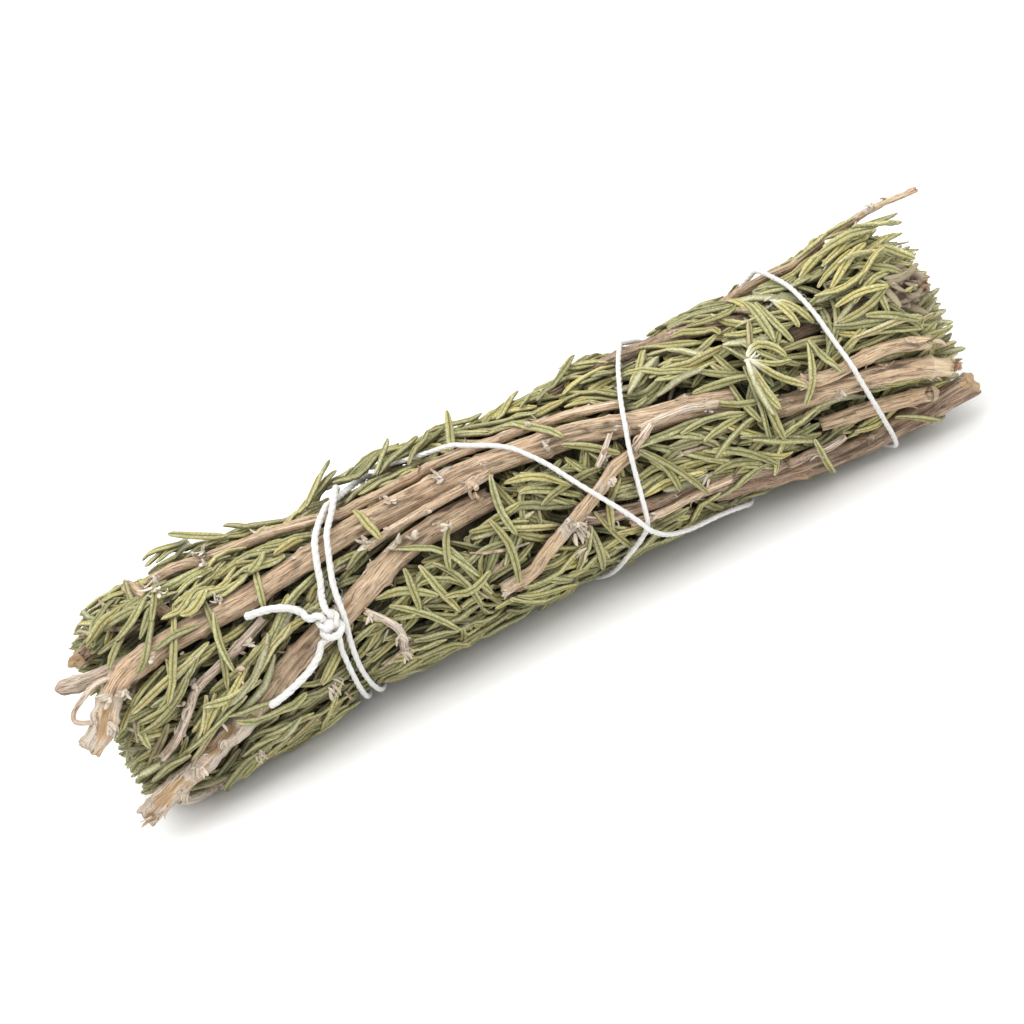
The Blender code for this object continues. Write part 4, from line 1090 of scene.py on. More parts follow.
# What is each stem's own. Angles are in degrees round the stem, 0 away from the bundle's middle, and places
# in millimetres from its first end. peels: (from, length, angle, width), cut in by hollow; splits: (from, to,
# angle); pales: (from, to, strength), under a pale woolly crust; slants tilt the cut faces: (first end, last
# end, angle); rounded closes the first end like a thumb; jag and wool: how uneven the cut ends are and how
# woolly the bark; fresh: how light and tan it is; cream: how pale its bare wood
stemLooks = {
    "main_stem": {"peels": [(1.5, 11, 5, 75), (15, 4, 100, 40)], "pales": [(0, 15, 0.85)], "hollow": 0.42,
                  "splits": [(58, 78, -35), (84, 120, 35), (28, 48, 40), (95, 112, 0), (120, 150, 10),
                             (60, 96, 15), (122, 146, 45)], "jag": 0.5, "wool": 0.14, "fresh": 0.42},
    "lower_left_stem": {"peels": [(1.5, 13, -58, 75), (19, 12, -62, 70), (62, 9, -30, 40)], "hollow": 0.42,
                        "pales": [(0, 36, 0.9)], "fresh": 0.3,
                        "splits": [(40, 66, 10), (78, 98, -25), (44, 70, -35)], "jag": 1.3, "wool": 0.15},
    "left_tip_stem": {"jag": 0.2, "wool": 0.1, "rounded": True},
    "left_brown_stem": {"jag": 0.4, "slants": (0.5, 0, 60)},
    "right_thick_stem": {"peels": [(39.5, 8, -20, 300)], "splits": [(12, 34, 20), (18, 36, -40)], "jag": 0.4,
                         "wool": 0.1, "slants": (0, -0.4, -40), "cream": 1.0, "fresh": 0.4},
    "right_branch": {"peels": [(5, 4, -30, 60), (29, 4, 40, 80)], "splits": [(4, 14, 10), (20, 31, -10)],
                     "jag": 1.6, "wool": 0.12, "fresh": 0.95, "cream": 0.6},
    "right_low_stem": {"jag": 0.15, "wool": 0.15, "splits": [(5, 18, 15)], "slants": (0, -0.8, -55),
                       "cream": 1.0, "fresh": 0.8},
    "lower_right_stem": {"splits": [(20, 45, -60), (40, 60, -80), (45, 64, -35)], "peels": [(64, 4, -80, 70)],
                         "jag": 0.8, "slants": (0, -0.15, -70)},
    "upper_left_stub": {"jag": 0.2, "wool": 0.05, "slants": (0.6, 0, 90), "fresh": 0.9},
    "upper_stem": {"wool": 0.2, "fresh": 0.3, "pales": [(0, 5, 0.6), (14, 19, 0.5), (31, 35, 0.6)]},
    "mid_branch": {"wool": 0.15, "fresh": 0.75, "pales": [(0, 6, 0.7), (19, 25, 0.9), (31, 36, 0.8)]},
    "mid_branch_tip": {"wool": 0.3, "fresh": 0.3, "pales": [(0, 3, 0.6)], "cream": 1.0},
    "stem_side_twig": {"wool": 0.5, "fresh": 0.3, "pales": [(10, 15, 0.9)]},
    "stem_side_sprig": {"wool": 0.6, "pales": [(0, 14, 0.7)]},
    "over_twig": {"wool": 0.3, "pales": [(0, 5, 0.7), (24, 32, 0.7)]},
    "grey_twig": {"wool": 0.35, "pales": [(0, 14, 0.45)]},
    "woolly_twig": {"wool": 0.8, "pales": [(0, 30, 0.6)]},
    "pale_lower_twig": {"wool": 0.6, "pales": [(0, 30, 0.9)]},
    "dry_curl_stem": {"peels": [(30, 5, 0, 120)], "jag": 1.6, "wool": 0.2},
    "poking_twig": {"peels": [(43, 9, 0, 340)], "pales": [(19, 23, 0.7), (40, 54, 0.8)], "wool": 0.15,
                    "fresh": 0.6, "cream": 1.0},
    "hooked_twiglet": {"wool": 0.4, "pales": [(0, 30, 0.5)]},
}
trims = {"back_upper_stem": 9, "inner_stem_a": 8, "inner_stem_b": 8, "inner_stem_c": 8}  # hidden, so cut short


# Nodes along a stem, a quarter turn from one to the next: where they lie, their angle and how near each ring is
def barkNodes(draw, run, half):
    nodes, at, turn = [], draw.uniform(*barkLook["nodeFirst"]), draw.uniform(0, math.pi)
    while at < run[-1, 0] - 3:
        nodes.append((at, turn))
        at += draw.uniform(*barkLook["nodeSpacing"]) * (0.6 + half.mean() / 4)
        turn += math.pi / 2
    return nodes


# Over (ring, angle), as shares of the half thickness: 1 with an oval, ridges, creases and swollen nodes with
# paired leaf scars, less the splits and the peeled patches, each of which has a raised rim
def barkRelief(own, seed, nodes, run, theta, half):
    look = barkLook

    # One of the patterns over the skin
    def wavy(pattern):
        added, around, along = look["patterns"][pattern]
        return waves(seed + added, theta, run, around, along)

    crease = hump(wavy("crease"), look["creaseWide"])
    radius = 1 + look["oval"] * np.cos(2 * theta + look["ovalTurn"] * run + seed) + look["ridges"] * wavy("ridge")
    radius = radius - look["creases"] * crease - look["fine"] * hump(wavy("fine"), look["fineWide"])
    radius = radius + look["uneven"] * wavy("uneven")
    wool, peel = np.zeros_like(radius), np.zeros_like(radius)
    for at, turn in nodes:
        near = hump(run - at, look["nodeLong"])
        radius = radius + look["nodeSwell"] * near
        for side in (0, math.pi):
            scar = hump(run - at - look["scarLong"], look["scarLong"])
            scar = scar * hump(turnApart(theta, turn + side), look["scarWide"])
            radius = radius + look["scarHeight"] * scar
            wool = np.maximum(wool, scar)
        wool = np.maximum(wool, look["woolNode"] * near)
    if own.get("rounded"):
        radius = radius * np.sqrt(np.clip(1 - (1 - np.minimum(run / half, 1))**2, 0.1, 1))
        radius = radius + look["collar"] * hump(run - look["collarAt"], look["collarLong"])
    patches, share = wavy("patch"), own.get("wool", 0.15)
    strewn = np.clip((patches - look["woolFrom"] * (1 - share)) * look["woolSharp"], 0, 1)
    wool = np.maximum(wool * (0.55 + share), strewn)
    radius = radius + look["woolHigh"] * wool + look["fluff"] * wool * wavy("fluff")
    before, fade = look["crustEdges"]
    for start, end, strength in own.get("pales", []):
        crust = np.clip(np.minimum(run - start + before, end - run) / fade, 0, 1) * strength
        wool = np.maximum(wool, crust * (0.85 + 0.15 * patches))
        radius = radius + look["crust"] * crust * wavy("crust")
    hollow = own.get("hollow", 0)
    for start, extent, angle, width in own.get("peels", []):
        apart = np.hypot((run - start - extent / 2) / (extent / 2),
                         turnApart(theta, math.radians(angle)) / math.radians(width / 2))
        apart = apart * (1 + look["ragged"] * wavy("ragged"))
        bare = np.clip((1.05 - apart) / (look["peelEdge"] + hollow), 0, 1)
        rim = hump(apart - look["rimAt"], look["rimWide"])
        radius = radius - max(look["peelDeep"], hollow) * bare + look["rim"] * rim
        peel = np.maximum(peel, bare)
        wool = np.maximum(wool * (1 - bare), rim * look["rimWool"])
    swing, bends = look["splitWander"]
    for start, end, angle in own.get("splits", []):
        middle = math.radians(angle) + swing * np.sin(run * bends + seed)
        cut = np.clip(np.minimum(run - start, end - run) / look["splitTaper"], 0, 1)
        cut = cut * hump(turnApart(theta, middle), look["splitWide"])
        radius = radius - look["splitDeep"] * cut
        crease = np.maximum(crease, cut)
    # The crease mask holds the creases and the splits, where the bark's colour gets painted shade
    return radius, {"crease": crease, "peel": peel, "wool": wool}


# Leaf bases left at the nodes: short curled strips and stubs that lean along the stem
def leafBases(nodes, draw, lines, frames, half, length):
    for at, turn in nodes:
        k = min(int(at / length * (len(lines) - 1)), len(lines) - 2)
        forward, outward, sideways = (way[k] for way in frames)
        for angle in (turn, turn + math.pi):
            away = outward * math.cos(angle) + sideways * math.sin(angle)
            if away @ outward < barkLook["hiddenBelow"]:
                continue
            root = lines[k] + away * half[k, 0] * 0.95
            for _ in range(draw.integers(*barkLook["basesEach"])):
                lean = forward * draw.choice([-1, 1]) + np.cross(forward, away) * draw.normal(0, 0.5)
                addStrip(root + lean * 0.2, lean, away, draw.uniform(0.9, 2.6), draw.uniform(0.4, 0.9),
                         draw.choice([0.12, 0.12, 0.5]), draw.uniform(0.1, 0.7), draw.normal(0, 1.4),
                         draw.normal(0, 0.6), draw.choice(barkLook["baseTones"]))


# A stem's skin: its line plus the relief times its half thickness round it. The ends are jagged round the rim,
# and each cut face is two rings inwards, with the wood a little dished, and a pole
def barkPiece(name, seed, line, half, material):
    hidden = name.startswith("inner")
    look = barkLook | (barkLook["inner"] if hidden else {})
    own = stemLooks.get(name, {})
    draw = np.random.default_rng(seed)
    rings, around = max(8, round(len(line) / look["step"])), look["around"]
    at = np.linspace(0, len(line) - 1, rings)
    lines = np.stack([np.interp(at, np.arange(len(line)), column) for column in line.T], 1)
    half = np.interp(at, np.arange(len(line)), half)[:, None]
    run = runAlong(lines)[:, None]
    theta = ringAngles(around)[None, :]
    nodes = barkNodes(draw, run, half)
    radius, looks = barkRelief(own, seed, nodes, run, theta, half)

    frames = forward, outward, sideways = lineFrames(lines, outwardAt(toPlaces(lines)[:, 1]))
    offset = outward[:, None] * np.cos(theta)[..., None] + sideways[:, None] * np.sin(theta)[..., None]
    skin = lines[:, None] + offset * (half * radius)[..., None]
    jag = own.get("jag", 0.5) * waves(seed + 7, theta, 0 * theta, (1, 6), (0, 1), 6)[0]
    first, last, facing = own.get("slants", (0, 0, 0))
    tilt = np.cos(theta[0] - math.radians(facing)) * 2
    skin[0] += forward[0] * (jag * 0.5 + first * tilt * half[0])[:, None]
    skin[-1] += forward[-1] * (jag[::-1] * 0.5 + last * tilt * half[-1])[:, None]
    if not hidden:
        leafBases(nodes, draw, lines, frames, half, run[-1, 0])

    faces = []
    for end, way in ((0, -1), (-1, 1)):
        middle, dish = skin[end].mean(axis=0), forward[end] * way * half[end, 0]
        faces += [middle + (skin[end] - middle) * share + dish * depth
                  for share, depth in zip((*look["cutRings"], 0), look["cutDish"])]
    points = np.concatenate([faces[1], faces[0], skin.reshape(-1, 3), faces[3], faces[4], faces[2][:1], faces[5][:1]])

    # The skin's values with those of the cut faces before and after them
    def withEnds(grid, rim, inner, pole):
        ends = [np.full((1, around), value) for value in (inner, rim)]
        full = np.concatenate([*ends, np.broadcast_to(grid, (rings, around)), *ends[::-1]])
        return np.concatenate([full.ravel(), [pole, pole]])

    fibre = np.stack(np.broadcast_arrays(np.cos(theta) * half, np.sin(theta) * half, run * look["stretch"]), -1)
    core = fibre[[0, 0, -1, -1]] * np.array([0.45, 0.86, 0.86, 0.45])[:, None, None]
    fibre = np.concatenate([core[:2], fibre, core[2:]]).reshape(-1, 3)
    fibre = np.concatenate([fibre, [[0, 0, 0], [0, 0, run[-1, 0] * look["stretch"]]]])
    values = {key: withEnds(grid, 0.1 if key == "wool" else 0, 0, 0) for key, grid in looks.items()} | {
        "cut": withEnds(0.0, 0.75, 1.0, 1.0), "fibre": fibre, "fresh": np.full(len(points), own.get("fresh", 0.0)),
        "cream": np.full(len(points), own.get("cream", 0.2))}
    return newPiece(name + "_bark", points, tubeFaces(1, rings + 4, around), material, values)


# Bark finish: long fibres, thin cracks, painted shade in the creases and splits, reddish bands, flakes of grey wool at
# the nodes, orange-tan wood where peeled, and pale end grain
barkColours = {
    "tan_bark": [(0.286, 0.182, 0.108, 1), (0.572, 0.418, 0.275, 1), (0.77, 0.621, 0.462, 1)],
    "brown_bark": [(0.143, 0.094, 0.061, 1), (0.396, 0.275, 0.187, 1), (0.583, 0.451, 0.33, 1)],
    "grey_bark": [(0.308, 0.226, 0.165, 1), (0.605, 0.484, 0.374, 1), (0.803, 0.693, 0.572, 1)],
}
barkTouches = {
    "wool": (0.57, 0.50, 0.42, 1), "red": (0.40, 0.22, 0.13, 1), "peel": (0.29, 0.165, 0.085, 1),
    "wood": (0.50, 0.325, 0.175, 1), "cut": (0.74, 0.61, 0.42, 1), "pith": (0.42, 0.28, 0.165, 1),
    "crackAndShade": (0.045, 0.03, 0.022, 1), "fresh": (0.64, 0.46, 0.28, 1), "ash": (0.56, 0.48, 0.40, 1),
    "noises": {"long": (2.2, 6.0, 0.72), "fine": (7.5, 5.0, 0.78), "split": (2.3, 3.0, 0.6)},  # along the fibres
    "specks": {"speck": (900.0, 3.0, 0.7), "blotch": (75.0, 4.0, 0.6), "fluff": (1100.0, 4.0, 0.7)},
    "layers": [  # value, from, to, strength, colour
        ("long", 0.34, 0.48, 1.0, "middle"), ("long", 0.50, 0.66, 1.0, "pale"), ("blotch", 0.53, 0.65, 0.45, "red"),
        ("fresh", 0.0, 1.0, 0.65, "fresh"), ("fine", 0.46, 0.34, 0.5, "dark"), ("fine", 0.56, 0.70, 0.6, "pale"),
        ("line", 0.018, 0.003, 0.9, "crackAndShade"), ("speck", 0.56, 0.72, 0.6, "ash"), ("speck", 0.44, 0.32, 0.35, "dark"),
        # painted shade: the creases and splits get the near-black colour of the thin cracks
        ("crease", 0.35, 1.0, 0.7, "crackAndShade"), ("torn", 0.45, 0.6, 1.0, "peeled"), ("flaky", 0.58, 0.72, 0.9, "wool"),
        ("cut", 0.3, 0.75, 1.0, "endGrain")],
    "ringWave": 14.0,  # radians for each millimetre from the pith
}


# A bark's material: its three browns and the touches laid over them in turn
def barkMaterial(name):
    touch = barkTouches | dict(zip(("dark", "middle", "pale"), barkColours[name]))
    material, tree, shader = newMaterial(name, 0.8)
    fibre = attribute(tree, "fibre", "Vector")
    look = {key: noise(tree, *settings, fibre) for key, settings in touch["noises"].items()}
    look |= {key: noise(tree, *settings) for key, settings in touch["specks"].items()}
    look |= {key: attribute(tree, key) for key in ("fresh", "crease", "cream", "peel", "wool", "cut")}
    look["line"] = maths(tree, "ABSOLUTE", maths(tree, "SUBTRACT", look["split"], 0.5))
    look["torn"] = maths(tree, "ADD", look["peel"], spread(tree, look["fine"], 0.3, 0.7, -0.35, 0.35))
    look["flaky"] = maths(tree, "ADD", look["wool"], spread(tree, look["fluff"], 0.3, 0.7, -0.55, 0.55))
    bare = mixed(tree, look["cream"], touch["wood"], touch["cut"])
    shaded = mixed(tree, look["cream"], touch["peel"], touch["wood"])
    touch["peeled"] = mixed(tree, spread(tree, look["fine"], 0.36, 0.54), shaded, bare)
    turns = addNode(tree, "SeparateXYZ", {0: fibre}).outputs
    out = maths(tree, "SQRT", maths(tree, "ADD", maths(tree, "MULTIPLY", turns[0], turns[0]),
                                    maths(tree, "MULTIPLY", turns[1], turns[1])))
    rings = maths(tree, "ADD", maths(tree, "SINE", maths(tree, "MULTIPLY", out, touch["ringWave"])),
                  spread(tree, look["fine"], 0.3, 0.7, -1.8, 1.8))
    grain = mixed(tree, spread(tree, rings, -2.2, 0.8), touch["pith"], bare)
    touch["endGrain"] = mixed(tree, spread(tree, out, 0.45, 0.2, 0.0, 0.8), grain, touch["peel"])
    rough = maths(tree, "ADD", maths(tree, "MULTIPLY", look["fine"], 0.5), maths(tree, "MULTIPLY", look["fluff"], 0.3))
    rough = maths(tree, "ADD", rough, maths(tree, "MULTIPLY", spread(tree, look["line"], 0.0, 0.035), 0.4))
    finish(tree, shader, layered(tree, touch["dark"], touch["layers"], look, touch), rough, 0.9, 0.0004)
    return material


# String: three plies twisted together; each ply is a round tube whose middle circles the string's line.
# Thickness is read off along the string; the plies' offset and radius are shares of it
cotton = {
    "run": [0, 25, 70, 95, 690, 712, 745, 775, 868, 885, 910],  # millimetres along the string
    "thick": [1.95, 1.8, 1.7, 1.25, 1.25, 1.6, 1.6, 1.28, 1.4, 1.85, 2.0],
    "pitch": 5.6, "plies": 3, "plyOffset": 0.14, "plyRadius": 0.36, "around": 8, "step": 0.5, "beyond": (0.1, 0.1),
    "strandTurn": 0.9, "strandStretch": 0.25,
}


# Each ply's ring turns with the twist, and the yarn's own strands turn on it
def stringPiece(material):
    lines = evenLine(stringRun, cotton["step"])
    run = np.arange(len(lines)) * cotton["step"]
    thick = np.interp(run, cotton["run"], cotton["thick"])
    frames = forward, outward, sideways = lineFrames(lines, outwardAt(toPlaces(lines)[:, 1]))
    ply = ringAngles(cotton["plies"])[:, None]
    turn = ply + 2 * math.pi * run / cotton["pitch"]
    offset = outward * np.cos(turn)[..., None] + sideways * np.sin(turn)[..., None]
    middle = lines + offset * (thick * cotton["plyOffset"])[:, None]
    theta = ringAngles(cotton["around"])
    fat = thick * cotton["plyRadius"] * (1 + 0.05 * np.sin(run * 1.7 + ply * 3))
    fat[:, [0, -1]] *= 0.5
    ringTurn = turn[..., None] + theta
    points = tubePoints(middle, [way[None] for way in frames], np.sin(ringTurn) * fat[..., None],
                        np.cos(ringTurn) * fat[..., None], cotton["beyond"])
    wound = theta + run[:, None] * cotton["strandTurn"]
    length = run[:, None] * cotton["strandStretch"] + ply[..., None] * 7
    strand = np.stack(np.broadcast_arrays(np.cos(wound), np.sin(wound), length), -1).reshape(len(ply), -1, 3)
    strand = np.concatenate([strand, np.zeros((len(ply), 2, 3))], axis=1)
    piece = newPiece("cottonString", points, tubeFaces(len(ply), len(lines), len(theta)), material,
                     {"strand": strand.reshape(-1, 3)})
    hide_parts("string")
    makeHairs(lines, frames, thick, material)


hairs = {"count": 420, "rings": 5, "corners": 3, "radius": 0.035, "reach": 2.0, "beyond": (0.03, 0.03),
         "sunk": 0.85, "off": (0.3, 1.3), "bend": 2.2, "turn": 0.8}


# Loose fibres: short hairs that leave the string's side and curl along it
def makeHairs(lines, frames, thick, material):
    draw = np.random.default_rng(5)
    column = (hairs["count"], 1)
    at = draw.integers(2, len(lines) - 8, hairs["count"])
    forward, outward, sideways = (way[at][:, None] for way in frames)
    angle = draw.uniform(0, 2 * math.pi, hairs["count"])[:, None]
    t = np.linspace(0, 1, hairs["rings"])[None, :]
    lift = draw.uniform(*hairs["off"], column)
    away = thick[at][:, None] / 2 * (hairs["sunk"] + lift * np.sin(t * hairs["bend"]))
    reach = draw.uniform(-hairs["reach"], hairs["reach"], column) * t
    swing = (angle + draw.normal(0, hairs["turn"], column) * t)[..., None]
    hair = (lines[at][:, None] + forward * reach[..., None]
            + (outward * np.cos(swing) + sideways * np.sin(swing)) * away[..., None])
    turn = ringAngles(hairs["corners"])
    corner = hairs["radius"] * np.stack([np.sin(turn), np.cos(turn)])
    across, above = np.broadcast_to(corner[:, None, None], (2, *hair.shape[:2], hairs["corners"]))
    points = tubePoints(hair, lineFrames(hair, np.broadcast_to(outward + 0.01, hair.shape)), across, above,
                        hairs["beyond"])
    faces = tubeFaces(len(hair), hairs["rings"], hairs["corners"])
    newPiece("stringFuzz", points, faces, material)


# Cotton: two whites mixed along its strands
def cottonMaterial():
    material, tree, shader = newMaterial("whiteCotton", 0.9)
    shader.inputs["Sheen Weight"].default_value = 0.25
    strand = attribute(tree, "strand", "Vector")
    fibre = noise(tree, 3.0, 4.0, 0.7, strand)
    colour = mixed(tree, spread(tree, fibre, 0.35, 0.65), (0.56, 0.545, 0.51, 1), (0.78, 0.77, 0.75, 1))
    finish(tree, shader, colour, fibre, 0.5, 0.0002)
    return material


# A ball of radius 1 from rings between two poles: its points with their angles down from the top and round it
def ballPoints(rings, around):
    polar, theta = np.meshgrid((np.arange(rings) + 0.5) * math.pi / rings, ringAngles(around), indexing="ij")
    polar, theta = np.append(polar, [0, math.pi]), np.append(theta, [0, 0])
    return np.stack([np.sin(polar) * np.cos(theta), np.sin(polar) * np.sin(theta), np.cos(polar)], -1), polar, theta


# The dried curled leaf at the right end: a closed crumpled ball. Its radius is least plus the mean over crossing
# waves of fold * (1 - |sin(wave)|), less a cup pressed into its outer side, and each axis has its own size
crumpled = {
    "place": (98.6, 44.0, 22.6), "size": (4.4, 4.1, 3.2), "rings": 64, "around": 90,
    "least": 0.7, "fold": 1.5, "waves": 10, "fine": 4.6, "cup": 0.5, "cupWay": [0.35, -0.2, 0.91], "cupWide": 0.55,
    # dark is the painted shade of the folds and the cup; ridge is the leaf's own brown
    "dark": (0.075, 0.052, 0.035), "ridge": (0.40, 0.335, 0.26), "paleFrom": 0.30, "paleOver": 0.26,
}


# The crumpled ball, set at its place along three directions there, paler on its ridges, which keep the leaf's own
# brown, with painted shade in its folds and its cup
def driedLeaf(material):
    ball, polar, theta = ballPoints(crumpled["rings"], crumpled["around"])
    draw = np.random.default_rng(31)
    ways = draw.normal(size=(crumpled["waves"], 3)) * crumpled["fine"]
    ridge = (1 - np.abs(np.sin(ball @ ways.T + draw.uniform(0, 6, crumpled["waves"])))).mean(axis=1)
    cup = hump(np.arccos(np.clip(ball @ np.array(crumpled["cupWay"]), -1, 1)), crumpled["cupWide"])
    radius = crumpled["least"] + crumpled["fold"] * ridge**1.2 - crumpled["cup"] * cup
    middle, axes = directionsAt(*crumpled["place"])
    points = inBox(middle + (ball * radius[:, None] * crumpled["size"]) @ axes)
    # Painted shade: the folds and the cup are coloured near black, the ridges keep the leaf's brown
    share = np.clip((ridge - crumpled["paleFrom"]) / crumpled["paleOver"] - 0.5 * cup, 0, 1)[:, None]
    tone = np.array(crumpled["dark"]) * (1 - share) + np.array(crumpled["ridge"]) * share
    faces = tubeFaces(1, crumpled["rings"], crumpled["around"], turned=np.linalg.det(axes) > 0)
    leaf = newPiece("driedLeaf", points, faces, material, {"tone": tone})


knotLook = {"radius": 1.55, "lumps": 0.10, "grid": (12, 20), "from": (3, 8), "strand": 2.5}


# The knot's heart: a lumpy ball of cotton inside the crossed strands, its radius waving round and along
def knotHeart(material):
    ball, polar, theta = ballPoints(*knotLook["grid"])
    radius = knotLook["radius"] * (1 + knotLook["lumps"] * np.sin(3 * theta + 4 * polar) * np.sin(polar))
    tie = toPlaces(stringRun)
    near = (np.abs(tie[:, :2] - twine["knot"]) < knotLook["from"]).all(axis=1)
    lumpy = ball * radius[:, None]
    faces = tubeFaces(1, *knotLook["grid"], turned=True)
    strand = {"strand": lumpy * knotLook["strand"]}
    newPiece("knotHeart", stringRun[near].mean(axis=0) + lumpy, faces, material, strand)


white = cottonMaterial()
stringPiece(white)
knotHeart(white)
print("string made")
barks = {name: barkMaterial(name) for name in barkColours}
for seed, (name, (line, half)) in enumerate(stems.items()):
    bark = stemRoutes[name][0]
    cut = trims.get(name, 0)
    piece = barkPiece(name, 100 + 10 * seed, line[cut:], half[cut:], barks[bark])
    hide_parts(name)
print("stems made:", len(stems))

